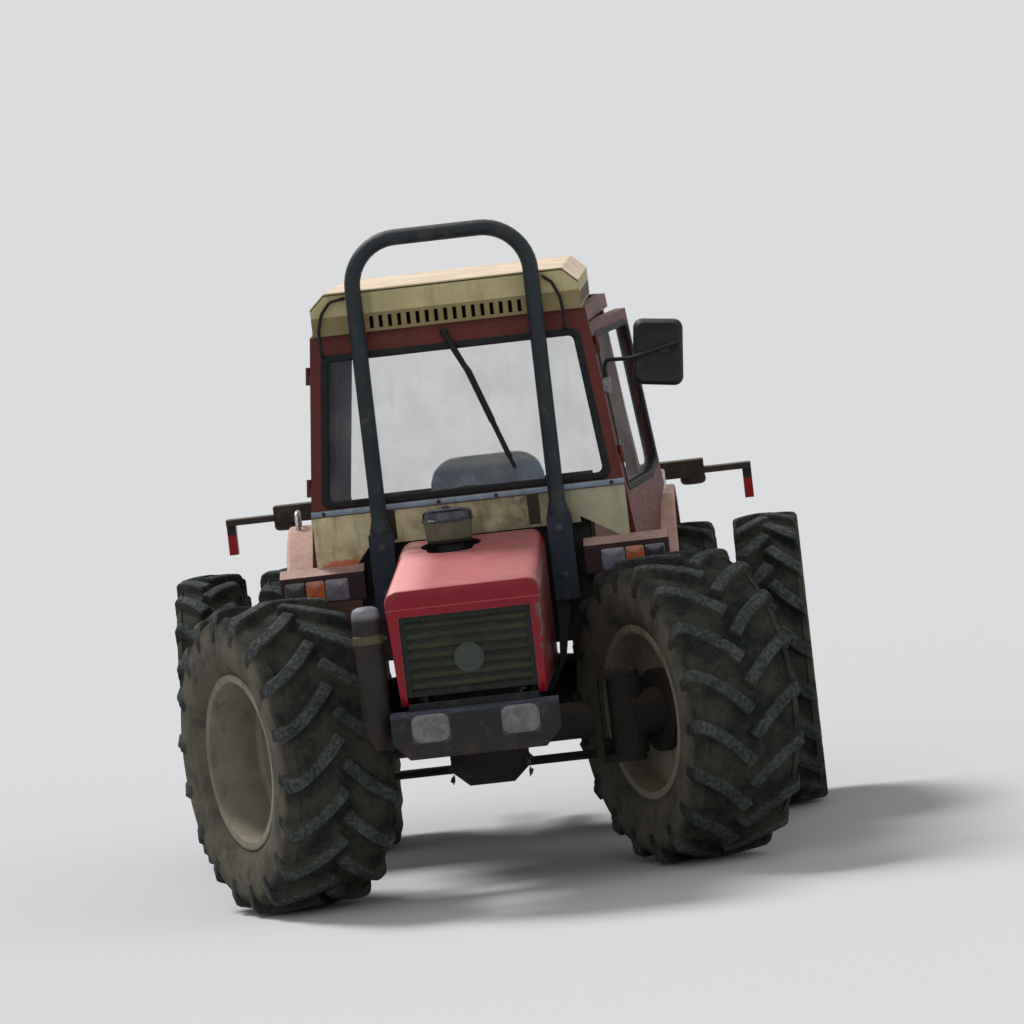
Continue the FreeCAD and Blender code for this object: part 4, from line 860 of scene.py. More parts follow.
def grille():
    """Backing, border frame, seven slanting ribs and a plain round boss."""
    low, high = np.array(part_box("grille"))
    border, ribs = 0.015, 7
    shape = Shape()
    block(shape, (low[0], high[0]), (high[1] - 0.004, high[1]), (low[2], high[2]))
    for z in ((low[2], low[2] + border), (high[2] - border, high[2])):
        block(shape, (low[0], high[0]), (low[1], high[1] - 0.003), z, 0.2)
    for x in ((low[0], low[0] + border), (high[0] - border, high[0])):
        block(shape, x, (low[1], high[1] - 0.003), (low[2] + border, high[2] - border), 0.2)
    pitch = (high[2] - low[2] - 2 * border) / ribs
    t = np.linspace(0, np.pi, 7)
    for i in range(ribs):
        z = low[2] + border + (i + 0.5) * pitch
        curve = np.stack((low[1] + 0.0085 - 0.007 * np.sin(t), z - pitch * 0.3 * np.cos(t) - 0.003 * np.sin(t)), 1)
        extruded(shape, np.vstack((curve, curve[::-1] + (0.0035, 0.001))), 0, low[0] + border, high[0] - border, 1.0)
    middle = np.array((0.0, high[1] - 0.002, (low[2] + high[2]) / 2 - 0.018))
    towards = (middle, np.array((0.0, -1.0, 0.0)), np.array((0.0, 0.0, 1.0)), np.array((1.0, 0.0, 0.0)))
    turned(shape, towards, [(0.0, 0.0), (0.0, 0.046), (0.009, 0.046), (0.0108, 0.0445), (0.0108, 0.041),
                            (0.0085, 0.0385), (0.0085, 0.030), (0.0105, 0.018), (0.011, 0.0)], 48, value=0.7)
    f = coat("grille_plastic", tone(22, 29, 24), tone(62, 64, 52), worn=0.5, dust=0.35, runs=0.1, rough=0.5,
             size=0.05, soil=(88, 86, 58))
    rib = f.node("ShaderNodeAttribute", {"attribute_name": "value"}, out="Fac")
    olive = f.between(rib, 0.75, 1.0) * (0.3 + 0.7 * f.cloud(0.06, 0.4, 0.62, 5.0, (0.35, 1.0, 1.0)))
    f.base = f.mix(olive * 0.5, f.base, tone(58, 56, 32))
    f.base = f.mix(f.between(rib, 0.6, 0.7) * f.between(rib, 0.8, 0.75) * 0.4, f.base, tone(86, 92, 86))
    f.set("Base Color", f.base)
    shape.make("grille_louvres", f, body_of("grille"), "grille", ("grille",), smooth=40)
    shape = Shape()
    block(shape, (low[0], high[0]), (low[1] - 0.0075, low[1] - 0.0030), (0.6205, low[2] - 0.0195))
    shape.make("grille_valance", coat("valance_plastic", tone(26, 30, 34), tone(62, 64, 58), worn=0.5, dust=0.3, rough=0.5,
                                      size=0.05), body_of("front_bumper"), "black", bevel=0.0015)


bonnet()
grille()

# Roll hoop: one bent steel tube in dark blue-grey paint. Each leg ends in a tapered collar
# and is clamped in a square welded socket that a bracket carries down to the rail.
HOOP_R = 0.0255
HOOP_BEND = 0.150


def hoop():
    low, high = np.array(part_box("roll_hoop"))
    s_low, s_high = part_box("hoop_sockets")
    x, y = (high[0] - low[0]) / 2 - HOOP_R, (low[1] + high[1]) / 2
    path = softened([(-x, y, low[2]), (-x, y, high[2] - HOOP_R), (x, y, high[2] - HOOP_R), (x, y, low[2])],
                    HOOP_BEND, 12, closed=False)
    shape = Shape()
    tube(shape, path, HOOP_R, 24)
    top = s_high[2]
    collar = [(0.0, 0.020), (0.0, 0.0345), (0.012, 0.0345), (0.016, 0.0325), (0.040, 0.0272), (0.044, 0.0256),
              (0.044, 0.020)]
    for sign in (-1, 1):
        turned(shape, (np.array((sign * x, y, top + 0.0002)), *UPRIGHT), collar, 24, closed=True)
    f = coat("hoop_paint", tone(32, 41, 46), tone(92, 88, 84), worn=0.4, dust=0.35, runs=0.2, rough=0.34, size=0.08)
    shape.make("hoop_tube", f, body_of("roll_hoop"), "hoop", ("roll_hoop",), smooth=35)
    dress(["hoop_sockets"], coat("socket_paint", tone(32, 40, 52), tone(92, 84, 74), worn=0.6, dust=0.4, rough=0.42,
                                 size=0.06, soft=0.005))
    shape = Shape()
    places = [(s * x, y - 0.0382, z) for s in (-1, 1) for z in (top - 0.045, top - 0.19)]
    bolts(shape, places, (0, -1, 0), 0.0095, 0.008)
    shape.make("socket_bolts", coat("bolt_blue", tone(52, 58, 68), tone(124, 118, 110), rough=0.5, metal=0.3),
               body_of("hoop_sockets"), "steel")


hoop()

# Cab front: a steel frame in dark brick red round one flat windscreen, which a black rubber
# gasket holds. Below a silver moulding with dark screws hangs a beige sheet cowl, stained by
# rust, and two dark straps stand behind the bonnet.
BELT_Z, HEADER_Z = 1.180, 1.740
BELT_HALF, HEADER_HALF = 0.500, 0.440      # half the cab's width at those heights, at the front
REAR_WIDER = 0.029
POST_SIDE = 0.046
CAB_RED = tone(92, 38, 30)
BARE_STEEL = tone(104, 92, 80)


def cab_half(z, back=0.0):
    """Half the cab's width at a height; back runs from 0 at the front to 1 at the door's rear edge."""
    return BELT_HALF + (HEADER_HALF - BELT_HALF) * (z - BELT_Z) / (HEADER_Z - BELT_Z) + REAR_WIDER * back


def inset(corners, distance):
    """Outline moved inwards all round; its corners run anticlockwise."""
    corners = np.asarray(corners, float)
    along = unit(np.roll(corners, -1, 0) - corners)
    inward = np.stack((-along[:, 1], along[:, 0]), 1)
    before = np.roll(inward, 1, 0)
    return corners + (inward + before) * distance / (1 + (inward * before).sum(1))[:, None]


def gasket(shape, corners, lift, widths=(0.012, -0.012), radius=0.018, depths=(0.0, 0.006, 0.018)):
    """Rubber profile round an opening: a rounded ring that laps the frame and the glass.
    lift puts (outline, depth) in place, with depth counted into the frame."""
    outer, inner = inset(corners, -widths[0]), inset(corners, -widths[1])
    top, bulge, back = depths
    rings = []
    for share, depth in ((0.0, bulge), (0.06, top + 0.002), (0.25, top), (0.6, top + 0.0015), (0.8, top + 0.0005),
                         (0.95, top + 0.003), (1.0, bulge), (0.95, back), (0.05, back)):
        line = outer + (inner - outer) * share
        rings.append(lift(softened(line, radius + (1 - share) * 0.012, 7), depth))
    return shape.grid(np.stack(rings), rows=True, columns=True)


def rubber_black(name, dust=0.45):
    return coat(name, tone(24, 26, 28), tone(60, 60, 60), worn=0.3, dust=dust, runs=0.1, rough=0.55, size=0.05,
                soil=(84, 82, 76))


def cab_front():
    red = coat("cab_red", CAB_RED, BARE_STEEL, worn=0.6, dust=0.25, runs=0.3, rough=0.42, size=0.2)
    dress(["cab_front_frame", "cab_rear_frame", "cab_side_left", "cab_side_right"], red)
    f = coat("cowl_beige", tone(206, 194, 152), tone(100, 68, 46), worn=0.9, dust=0.2, runs=0.6, rough=0.45, size=0.1)
    x, z = f.part(f.place, 0), f.part(f.place, 2)
    low_edge = f.between(z, 1.10, 1.02) * f.cloud(0.05, 0.4, 0.62)
    f.base = f.mix(low_edge * 0.55, f.base, tone(142, 104, 64))
    f.base = f.mix(f.between(z, 1.150, 1.168) * f.cloud(0.03, 0.45, 0.65, 5.0, (1.0, 1.0, 0.3)) * 0.6, f.base,
                   tone(96, 70, 46))
    stain = f.between(x, 0.10, 0.17) * f.between(x, 0.26, 0.21) * f.cloud(0.03, 0.44, 0.6)
    f.base = f.mix(stain * 0.7, f.base, tone(70, 58, 42))
    patch = f.between(x, -0.36, -0.38) * f.between(z, 1.035, 1.02) * f.cloud(0.04, 0.4, 0.5)
    f.base = f.mix(patch * 0.8, f.base, tone(186, 72, 38))
    middle = f.between(x, -0.30, -0.10) * f.between(x, 0.46, 0.20) * (0.4 + 0.6 * f.cloud(0.09, 0.35, 0.65))
    f.base = f.mix(f.between(x, 0.10, 0.34) * 0.75, f.base, tone(146, 144, 124))
    f.base = f.mix(middle * 0.75, f.base, tone(84, 80, 60))
    f.set("Base Color", f.base)
    dress(["cab_cowl"], f)
    shape = Shape()
    extruded(shape, [(-0.330, 1.064), (0.350, 1.064), (0.350, 1.098), (-0.262, 1.132), (-0.330, 1.086)], 1, -0.2997, -0.290)
    shape.make("cowl_apron", f, body_of("cab_cowl"), "cream", smooth=30)
    low, high = np.array(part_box("cab_front_frame"))
    y = low[1]
    front = [(-cab_half(1.203) + POST_SIDE, 1.203), (cab_half(1.203) - POST_SIDE, 1.203),
             (cab_half(1.668) - POST_SIDE, 1.668), (-cab_half(1.668) + POST_SIDE, 1.668)]
    shape = Shape()
    gasket(shape, front, lambda line, depth: frontal(line, y + depth), depths=(-0.0045, -0.0005, 0.018))
    shape.make("windscreen_gasket", rubber_black("gasket_rubber"), body_of("cab_front_frame"), "black", smooth=40)
    cowl_low, cowl_high = np.array(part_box("cab_cowl"))
    shape = Shape()
    face = cowl_low[1]
    strip = softened([(face - 0.0045, 1.1705), (face + 0.003, 1.1695), (face + 0.003, 1.1895), (face - 0.0045, 1.1885)],
                     0.0015, 3)
    extruded(shape, strip, 0, -0.500, 0.500)
    f = coat("moulding_silver", tone(126, 138, 152), tone(176, 176, 184), worn=0.5, dust=0.3, runs=0.4, rough=0.35,
             size=0.05, metal=0.5)
    shape.make("belt_moulding", f, body_of("cab_cowl"), "steel", smooth=30)
    shape = Shape()
    screws = [(x, face - 0.0044, 1.179) for x in np.linspace(-0.46, 0.46, 6)]
    bolts(shape, screws, (0, -1, 0), 0.0045, 0.0035)
    for x, wide in ((-0.25, 0.030), (0.205, 0.036)):
        block(shape, (x - wide / 2, x + wide / 2), (face - 0.0035, face + 0.0005), (1.075, 1.170))
    shape.make("cowl_straps", coat("strap_dark", tone(52, 44, 36), tone(92, 64, 44), dust=0.4, rough=0.6, size=0.03),
               body_of("cab_cowl"), "black")


def post_trim():
    """Grey-violet cover of the post behind the right door, in two strips with a pale joint between them."""
    low_z, high_z, y = 1.100, 1.700, 0.516
    feet, heads = (-0.5087, -0.4715, -0.469, -0.4304), (-0.4650, -0.4125, -0.4100, -0.356)
    shape = Shape()
    for first, value, lift in ((0, 0.0, 0.0), (1, 1.0, 0.003), (2, 0.0, 0.0)):
        outline = [(feet[first], low_z), (feet[first + 1], low_z), (heads[first + 1], high_z), (heads[first], high_z)]
        extruded(shape, outline, 1, y + lift, y + 0.026, value)
    f = coat("trim_violet", tone(104, 98, 112), tone(140, 130, 140), worn=0.3, dust=0.2, runs=0.2, rough=0.6)
    joint = f.node("ShaderNodeAttribute", {"attribute_name": "value"}, out="Fac")
    f.base = f.mix(joint, f.base, tone(168, 164, 176))
    f.set("Base Color", f.base)
    shape.make("post_trim", f, body_of("cab_side_right"), "black", smooth=30)


def glazing():
    """Thin dusty safety glass in every window: clear in the middle, hazed where soil has dried."""
    f = Finish("cab_glazing", Coat_Weight=0.4, Coat_Roughness=0.03, Specular_IOR_Level=0.6)
    haze = f.cloud(0.16, 0.35, 0.7, 2.0)
    streak = f.cloud(0.03, 0.5, 0.75, 5.0, (1.0, 1.0, 0.15))
    f.set("Base Color", f.mix(haze, tone(90, 98, 96), tone(140, 142, 132)))
    f.set("Roughness", 0.06 + 0.2 * haze).set("Alpha", 0.06 + 0.055 * haze + 0.03 * streak)
    dress(["cab_glass", "door_glass_left", "door_glass_right"], f)


cab_front()
post_trim()
glazing()

# Doors: pressed steel leaves hung at their front edge from two hinges, painted like the frame
# outside, each with its glass in a black seal. The left one stands a little open.
DOOR_AJAR = math.radians(5.5)
HINGE_OUT = 0.009
DOOR_T = 0.034
DOOR_Y = (-0.248, 0.510)
DOOR_EDGE = 0.042


def on_side(outline, sign, out):
    """Outline of (y, z) points laid on the cab's leaning side; out is counted outwards from it."""
    outline = np.asarray(outline, float)
    back = (outline[:, 0] - DOOR_Y[0]) / (DOOR_Y[1] - DOOR_Y[0])
    return np.stack((sign * (cab_half(outline[:, 1], back) + out), outline[:, 0], outline[:, 1]), 1)


def swung(points, sign):
    """Points of a closed door as it stands; only the left one is open."""
    if sign < 0:
        return points
    lean = (BELT_HALF - HEADER_HALF) / (HEADER_Z - BELT_Z)
    foot = np.array((sign * (cab_half(BELT_Z) + HINGE_OUT), DOOR_Y[0] - 0.004, BELT_Z))
    turn = np.array(Matrix.Rotation(-DOOR_AJAR, 3, (-sign * lean, 0, 1)))
    return (points - foot) @ turn.T + foot


def doors():
    dress(["door_left", "door_right"], coat("door_red", CAB_RED, BARE_STEEL, worn=0.6, dust=0.35, runs=0.35,
                                            rough=0.42, size=0.2))
    y0, y1 = DOOR_Y[0] + DOOR_EDGE, DOOR_Y[1] - DOOR_EDGE
    window = [(y0, 1.150), (DOOR_Y[1] - 0.200, 1.150), (y1, 1.180), (y1, 1.645), (y0, 1.645)]
    for side, sign in (("left", 1), ("right", -1)):
        shape = Shape()
        for deep in (0.0, -DOOR_T):
            away = -1.0 if deep == 0.0 else 1.0
            gasket(shape, window, lambda line, depth: swung(on_side(line, sign, deep + away * depth), sign),
                   widths=(0.012, -0.010), radius=0.030, depths=(-0.004, 0.0, 0.010))
        shape.make(f"door_seal_{side}", rubber_black(f"seal_rubber_{side}"), body_of(f"door_{side}"), "black",
                   smooth=40)


doors()

# Roof: a shallow pressed box in cream. Its weathered top skin, a little pinker, laps the front
# with a dark seam below it. A row of air slots crosses its front, and two black leads come out
# at the seam and run down to the header.
SLOT_Z = 1.770
LEAD_R = 0.0052
LEAD_Y, HEADER_Y = -0.336, -0.2985    # the leads hang in front of the header and end in it
LEADS = {    # side: x and z of each turn of a lead, from the top down
    1: ((0.318, 1.855), (0.345, 1.832), (0.366, 1.782), (0.372, 1.728), (0.369, 1.678)),
    -1: ((0.318, 1.855), (0.362, 1.848), (0.392, 1.812), (0.407, 1.760), (0.406, 1.678)),
}


def roof():
    f = coat("roof_cream", tone(182, 172, 126), tone(120, 92, 64), worn=0.5, dust=0.12, runs=0.3, rough=0.5, size=0.2,
             soft=0.004)
    x, y, z = (f.part(f.place, axis) for axis in range(3))
    outside = f.node("ShaderNodeMath", {"operation": "ABSOLUTE"}, {0: x})
    edge = 1.875 - 0.9375 * f.node("ShaderNodeMath", {"operation": "MAXIMUM"}, {0: outside - 0.380, 1: 0.0})
    skin = f.between(z - edge, -0.0015, -0.0005)
    f.base = f.mix(skin * 0.9, f.base, f.mix(f.cloud(0.12), tone(232, 210, 184), tone(212, 188, 162)))
    seam = f.between(z - edge, -0.0095, -0.0085) * f.between(z - edge, -0.0040, -0.0050) * f.between(y, -0.312, -0.318)
    f.base = f.mix(seam, f.base, tone(44, 30, 24))
    panel = f.between(z, SLOT_Z + 0.031, SLOT_Z + 0.029) * f.between(y, -0.312, -0.318)
    f.base = f.mix(panel * 0.7, f.base, tone(98, 82, 50))
    slots = f.between(z, 1.792, 1.788) * f.between(z, 1.748, 1.752) * f.between(y, -0.3195, -0.3188)
    f.base = f.mix(slots, f.base, tone(70, 42, 26))
    f.set("Base Color", f.base)
    dress(["roof"], f)
    shape = Shape()
    block(shape, (-0.40, 0.40), (-0.285, 0.800), (1.7415, 1.7455))
    block(shape, (-0.36, 0.36), (-0.262, -0.258), (1.7415, 1.850))
    shape.make("roof_lining", coat("lining_brown", tone(58, 42, 34), tone(80, 62, 50), dust=0.2, rough=0.8),
               body_of("roof"), "black")
    shape = Shape()
    for sign, turns in LEADS.items():
        path = [(sign * turns[0][0], -0.3205, turns[0][1])]
        path += [(sign * x, LEAD_Y, z) for x, z in turns]
        path.append((sign * turns[-1][0], HEADER_Y, turns[-1][1]))
        tube(shape, softened(path, (0, 0.014, 0.03, 0.05, 0.08, 0.014, 0), 6, closed=False), LEAD_R, 12)
    shape.make("roof_leads", rubber_black("lead_sheath", 0.3), body_of("roof"), "black", smooth=60)


roof()

# Driver's place: a grey foam seat with a vinyl skin gone pale along its top edge, on a plain
# steel pedestal, and a black steering wheel on a leaning column. The floor is bare painted sheet.


def pad(shape, low, high, square=0.28, narrow=None):
    """Cushion between two corners: a superellipsoid, whose powers make it boxy with soft edges.
    narrow gives the share of its width that is left at a share of its height."""
    low, high = np.asarray(low, float), np.asarray(high, float)
    v, u = np.meshgrid(np.linspace(-np.pi / 2, np.pi / 2, 33), np.linspace(-np.pi, np.pi, 56, endpoint=False),
                       indexing="ij")

    def power(value, exponent):
        return np.sign(value) * np.abs(value) ** exponent

    ball = np.stack((power(np.cos(v), square) * power(np.cos(u), square),
                     power(np.cos(v), square) * power(np.sin(u), square), power(np.sin(v), square)), -1)
    if narrow:
        ball[..., 0] *= np.interp((ball[..., 2] + 1) / 2, *narrow)
    return shape.grid((low + high) / 2 + ball * (high - low) / 2, columns=True)


def seat():
    f = Finish("seat_vinyl", Specular_IOR_Level=0.35)
    z = f.part(f.place, 2)
    fine = f.cloud(0.006, 0.35, 0.65, 6.0)
    base = f.mix(f.cloud(0.08), tone(156, 172, 190), tone(130, 143, 158))
    top = f.between(z, 1.215, 1.245) * (0.45 + 0.55 * fine)
    base = f.mix(top * 0.85, base, tone(212, 214, 208))
    base = f.mix(f.facing_up() * (0.3 + 0.5 * fine), base, tone(150, 144, 130))
    f.set("Base Color", base).set("Roughness", 0.7 + 0.2 * fine)
    f.bump(fine + f.cloud(0.05) * 2.0, 0.0012)
    for node, narrow in (("seat_cushion", None), ("seat_back", ((0.0, 0.74, 0.88, 1.0), (1.0, 1.0, 0.93, 0.80)))):
        low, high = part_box(node)
        shape = Shape()
        pad(shape, low, high, narrow=narrow)
        piece = shape.make(node + "_pad", f, body_of(node), "seat", (node,), smooth=60)
    dress(["seat_frame"], coat("seat_steel", tone(40, 40, 42), tone(90, 84, 78), dust=0.5, rough=0.55, size=0.06))
    f = coat("floor_sheet", tone(46, 43, 42), tone(110, 96, 80), worn=0.6, dust=0.5, rough=0.65, size=0.12)
    dress(["cab_floor"], f)


def steering_wheel():
    middle = np.array((0.0, 0.010, 1.100))
    axis = unit(np.array((0.0, 0.55, 0.83)))
    across = np.array((1.0, 0.0, 0.0))
    along = np.cross(axis, across)
    shape = Shape()
    turn, section = np.linspace(0, 2 * np.pi, 56, endpoint=False), np.linspace(0, 2 * np.pi, 12, endpoint=False)
    out = (np.cos(turn)[:, None] * across + np.sin(turn)[:, None] * along)[:, None]
    ring = middle + out * (0.175 + 0.013 * np.cos(section))[None, :, None] + axis * 0.013 * np.sin(section)[None, :, None]
    shape.grid(ring, rows=True, columns=True)
    for angle in np.radians((90, 210, 330)):
        end = np.cos(angle) * across + np.sin(angle) * along
        tube(shape, [middle + end * 0.03, middle + end * 0.12 - axis * 0.004, middle + end * 0.172], 0.008, 10)
    foot = np.array((0.0, -0.150, 0.700))
    tube(shape, [middle - axis * 0.024, middle - axis * 0.004, middle + axis * 0.010, middle + axis * 0.012],
         (0.038, 0.039, 0.036, 0.030), 24)
    tube(shape, [foot + (0, 0, 0.03), middle - axis * 0.02], 0.030, 20)
    tube(shape, [foot, foot + (0, 0, 0.05)], 0.046, 20)
    shape.make("steering_wheel_rim", rubber_black("wheel_plastic", 0.5), body_of("steering_wheel"), "black",
               ("steering_wheel",), smooth=40)


seat()
steering_wheel()

# Wings: steel lamp boxes beside the bonnet with red sides and sun-faded tops, each holding a
# clear side lamp and an amber direction lamp. Arched fenders in the same paint lap the
# rear tyres, with a chromed grab rail on each.
LENS_SPANS = ((0.404, 0.478), (0.480, 0.540), (0.542, 0.606))    # clear lamp, amber lamp and a blank
LENS_Z, LENS_HALF = 0.940, 0.034

def faded_red(name, side=(104, 30, 32), fade_to=(186, 132, 124)):
    f = coat(name, tone(*side), tone(90, 78, 70), worn=0.6, dust=0.0, runs=0.3, rough=0.42, size=0.12, soft=0.008)
    up = f.facing_up(0.2, 0.75)
    f.base = f.mix(up * (0.78 + 0.2 * f.cloud(0.08)), f.base, tone(*fade_to))
    f.base = f.mix(up * f.cloud(0.03, 0.45, 0.7) * 0.4, f.base, tone(150, 126, 108))
    return f.set("Base Color", f.base)


def wings():
    dress(["front_wings"], faded_red("wing_paint", (44, 24, 26), (176, 142, 132)))
    f = Finish("lamp_lenses", Coat_Weight=0.5, Coat_Roughness=0.1, Roughness=0.25)
    x = f.node("ShaderNodeMath", {"operation": "ABSOLUTE"}, {0: f.part(f.place, 0)})
    ribs = f.node("ShaderNodeTexWave", {"bands_direction": "X"}, {"Vector": f.place, "Scale": 40.0})
    amber = f.between(x, 0.4785, 0.4795)
    colour = f.mix(amber, tone(104, 104, 120), tone(176, 82, 28))
    colour = f.mix(f.cloud(0.02) * 0.4, colour, tone(64, 54, 48))
    blank = f.between(x, 0.5405, 0.5415)
    colour = f.mix(ribs * 0.3, colour, tone(70, 56, 50))
    f.set("Base Color", f.mix(blank, colour, tone(30, 30, 33)))
    f.bump(ribs, 0.0008)
    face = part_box("front_wings")[0][1]
    shape = Shape()
    rows = ((1.0, 0.0006), (1.0, -0.0022), (0.97, -0.0032), (0.86, -0.0038), (0.0, -0.0042))
    for sign in (-1, 1):
        for x0, x1 in LENS_SPANS:
            half_w = (x1 - x0) / 2
            outline = softened([(-half_w, -LENS_HALF), (half_w, -LENS_HALF), (half_w, LENS_HALF), (-half_w, LENS_HALF)],
                               0.008)
            shape.grid(np.stack([frontal(outline * share + (sign * (x0 + x1) / 2, LENS_Z), face + y)
                                 for share, y in rows]), columns=True)
    shape.make("wing_lamp_lenses", f, body_of("front_wings"), "lens", smooth=40)


def fenders():
    low, high = np.array(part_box("rear_fenders"))
    inner, outer, radius, thick = 0.3735, high[0], 0.600, 0.010
    section = softened([(inner, radius), (outer - 0.008, radius), (outer - 0.007, radius - 0.018),
                        (outer, radius - 0.018), (outer, radius + thick - 0.002), (outer - 0.010, radius + thick),
                        (inner, radius + thick)], 0.0012, 3)
    turn = np.radians(np.linspace(-68.8, 59.2, 49))
    shape = Shape()
    for sign in (-1, 1):
        grid = np.stack((np.broadcast_to(sign * section[:, 0], (49, len(section))),
                         0.630 + section[None, :, 1] * np.sin(turn)[:, None],
                         0.4825 + section[None, :, 1] * np.cos(turn)[:, None]), -1)
        shape.grid(grid, columns=True, ends=True)
    shape.make("fender_arches", faded_red("fender_paint", fade_to=(196, 156, 140)), body_of("rear_fenders"), "cab_red",
               ("rear_fenders",), smooth=30)
    shape = Shape()
    x, y0, top = outer - 0.034, 0.540, 1.140
    for sign in (-1, 1):
        foot = [0.4825 + math.sqrt(0.604 ** 2 - (y - 0.630) ** 2) for y in (y0, y0 + 0.075)]
        path = softened([(sign * x, y0, foot[0]), (sign * x, y0, top), (sign * x, y0 + 0.075, top),
                         (sign * x, y0 + 0.075, foot[1])], 0.022, 7, closed=False)
        tube(shape, path, 0.0085, 14)
    f = coat("rail_chrome", tone(176, 176, 176), tone(120, 84, 56), worn=0.5, dust=0.2, runs=0.3, rough=0.18,
             size=0.03, metal=0.9)
    shape.make("grab_rails", f, body_of("rear_fenders"), "steel", smooth=60)


wings()
fenders()

# Mirror: a black plastic shell on a bent rod, which a silver clamp holds to the cab's left post.
MIRROR_CORNER = 0.028


def mirror():
    low, high = np.array(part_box("mirror"))
    side = cab_half(1.46) + 0.0003
    x0, x1, z0, z1 = high[0] - 0.183, high[0], low[2], high[2]
    y0, y1 = low[1], low[1] + 0.030
    x0, x1 = x0 + 0.016, x1 - 0.008
    corners = [(x0 - 0.012, z0 + 0.032), (x1 - 0.012, z0 + 0.010), (x1 + 0.008, z1 - 0.020), (x0 + 0.012, z1 - 0.001)]
    rings = []
    for shrink, y in ((0.050, y0 + 0.004), (0.024, y0 + 0.0035), (0.019, y0 + 0.0005), (0.012, y0), (0.003, y0 + 0.010), (0.0, y0 + 0.022),
                      (0.0, y1 - 0.001), (0.003, y1), (0.006, y1), (0.007, y1 - 0.003)):
        rings.append(frontal(softened(inset(corners, shrink), max(MIRROR_CORNER - shrink * 0.3, 0.012), 6), y))
    shape = Shape()
    shape.grid(np.stack(rings), columns=True, ends=True)
    clamp_y = -0.275
    middle = np.array(((x0 + x1) / 2, (z0 + z1) / 2))
    arm = softened([(side + 0.010, clamp_y, 1.470), (side + 0.010, clamp_y, 1.565), (x0 - 0.01, y0 - 0.006, 1.566),
                    (x1 - 0.006, y0 - 0.009, 1.602)], 0.022, 8, closed=False)
    tube(shape, arm, 0.0065, 14)
    block(shape, (middle[0] + 0.004, middle[0] + 0.034), (y0 - 0.010, y0 + 0.003), (1.572, 1.596))
    shape.make("mirror_shell", coat("mirror_plastic", tone(26, 30, 29), tone(70, 70, 70), worn=0.3, dust=0.3, runs=0.2,
                                    rough=0.4, size=0.06), body_of("mirror"), "black", ("mirror",), smooth=35)
    shape = Shape()
    turned(shape, (np.array((side + 0.010, clamp_y, 1.4605)), *UPRIGHT),
           [(0.0, 0.0), (0.0, 0.0125), (0.002, 0.014), (0.048, 0.014), (0.050, 0.0125), (0.050, 0.0)], 24)
    block(shape, (side - 0.004, side + 0.012), (clamp_y - 0.014, clamp_y + 0.014), (1.466, 1.506))
    bolts(shape, [(side + 0.010, clamp_y - 0.0138, 1.486)], (0, -1, 0), 0.005, 0.004)
    f = coat("clamp_silver", tone(128, 128, 134), tone(150, 140, 130), dust=0.3, rough=0.4, metal=0.6, size=0.03)
    shape.make("mirror_clamp", f, body_of("mirror"), "steel", smooth=35)


mirror()

# Wiper: a black pressed arm on a spindle in the header, and a blade whose bridge and rubber
# lie on the windscreen.
WIPER = ((-0.015, 1.713), (0.054, 1.568), (0.162, 1.259))


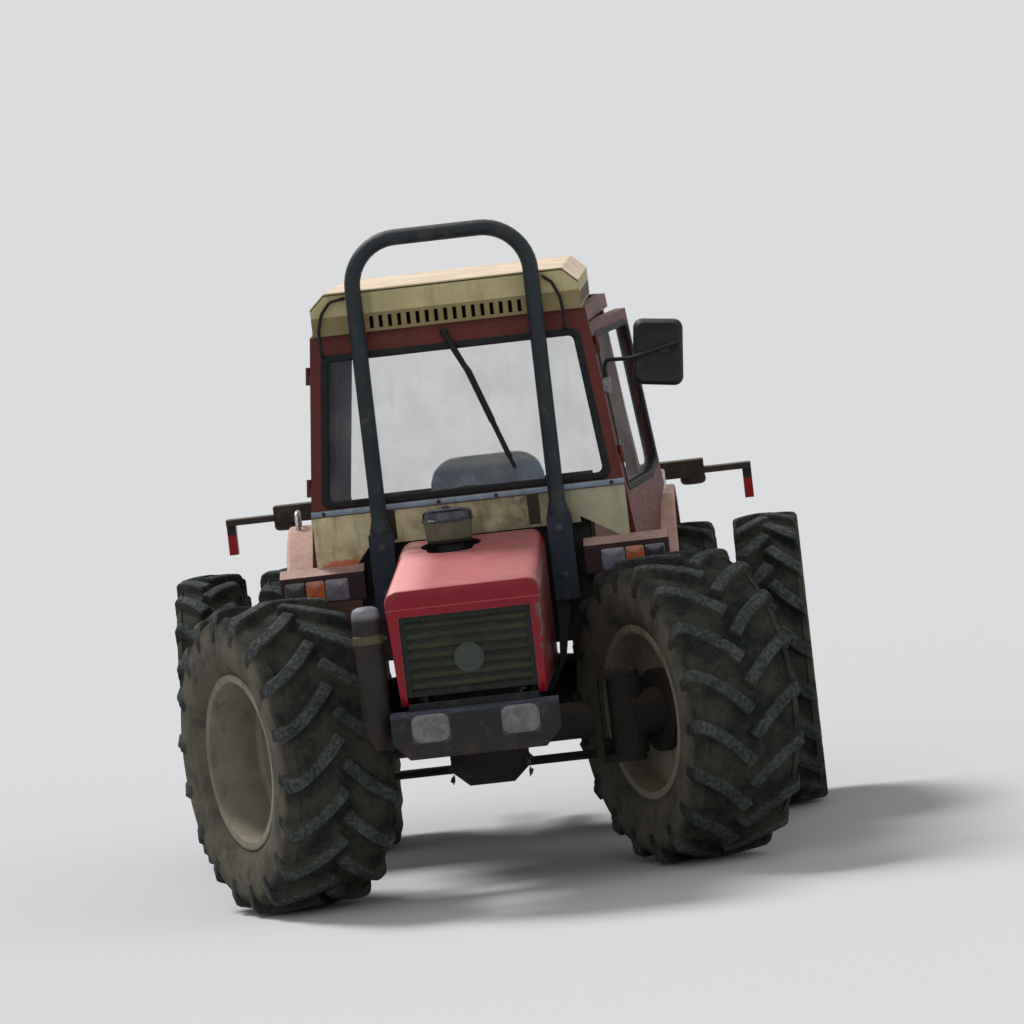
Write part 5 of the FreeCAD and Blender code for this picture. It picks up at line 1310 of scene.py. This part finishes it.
def wiper():
    low, high = np.array(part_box("wiper"))
    y = -0.312
    (x0, z0), (x1, z1), (x2, z2) = WIPER
    shape = Shape()
    turned(shape, (np.array((x0, high[1], z0)), np.array((0.0, -1.0, 0.0)), np.array((0.0, 0.0, 1.0)),
                   np.array((1.0, 0.0, 0.0))),
           [(0.0, 0.0), (0.0, 0.0125), (0.014, 0.0125), (0.016, 0.010), (0.020, 0.009), (0.022, 0.006), (0.022, 0.0)],
           20)
    tube(shape, [(x0, y, z0), (x0 + 0.02, y - 0.002, z0 - 0.042), (x1, y, z1), (x1 + 0.020, y + 0.001, z1 - 0.057)],
         (0.0120, 0.0105, 0.0090, 0.0080), 10)
    start = np.array((x1 - 0.012, z1 + 0.034))
    end = np.array((x2, z2))
    along = (end - start) / np.linalg.norm(end - start)
    for share0, share1, radius, lift in ((0.0, 1.0, 0.0060, 0.004), (0.02, 0.90, 0.0085, -0.001), (0.05, 0.55, 0.0105, -0.003)):
        a, b = start + (end - start) * share0, start + (end - start) * share1
        tube(shape, [(a[0], y + lift, a[1]), (b[0], y + lift, b[1])], radius, 8)
    grip = start + (end - start) * 0.18
    tube(shape, [(grip[0], y - 0.003, grip[1]), (grip[0] + along[0] * 0.05, y - 0.003, grip[1] + along[1] * 0.05)],
         0.0068, 8)
    shape.make("wiper_arm", rubber_black("wiper_black", 0.3), body_of("wiper"), "black", ("wiper",), smooth=40)


wiper()

# Carrier bar: a flat steel bar across the rear on two stays, rusty, with round fittings under it
# and a red marker lamp in a dark holder at each end.


def carrier():
    dress(["carrier_bar"], coat("carrier_steel", tone(58, 52, 48), tone(118, 84, 62), worn=0.7, dust=0.4, runs=0.4,
                                rough=0.55, size=0.06, metal=0.2, soft=0.003))
    shape = Shape()
    low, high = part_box("carrier_bar")
    for sign in (-1, 1):
        turned(shape, (np.array((sign * 0.695, 1.280, low[2] + 0.006)), -UPRIGHT[0], UPRIGHT[1], UPRIGHT[2]),
               [(0.0, 0.0), (0.0, 0.040), (0.020, 0.044), (0.032, 0.040), (0.036, 0.030), (0.036, 0.0)], 28)
        block(shape, sorted((sign * 0.470, sign * 0.735)), (1.236, 1.324), (low[2] - 0.004, high[2] + 0.014))
    shape.make("carrier_fittings", coat("fitting_iron", tone(46, 40, 34), tone(90, 70, 54), worn=0.5, dust=0.4, runs=0.4,
                                        rough=0.6, size=0.05), body_of("carrier_bar"), "steel", bevel=0.002)
    f = coat("marker_red", tone(150, 24, 26), tone(90, 60, 54), worn=0.3, dust=0.3, rough=0.3, size=0.03)
    z = f.part(f.place, 2)
    f.base = f.mix(f.between(z, 1.045, 1.050), f.base, tone(36, 34, 36))
    f.set("Base Color", f.base)
    dress(["tail_lamps"], f)


carrier()
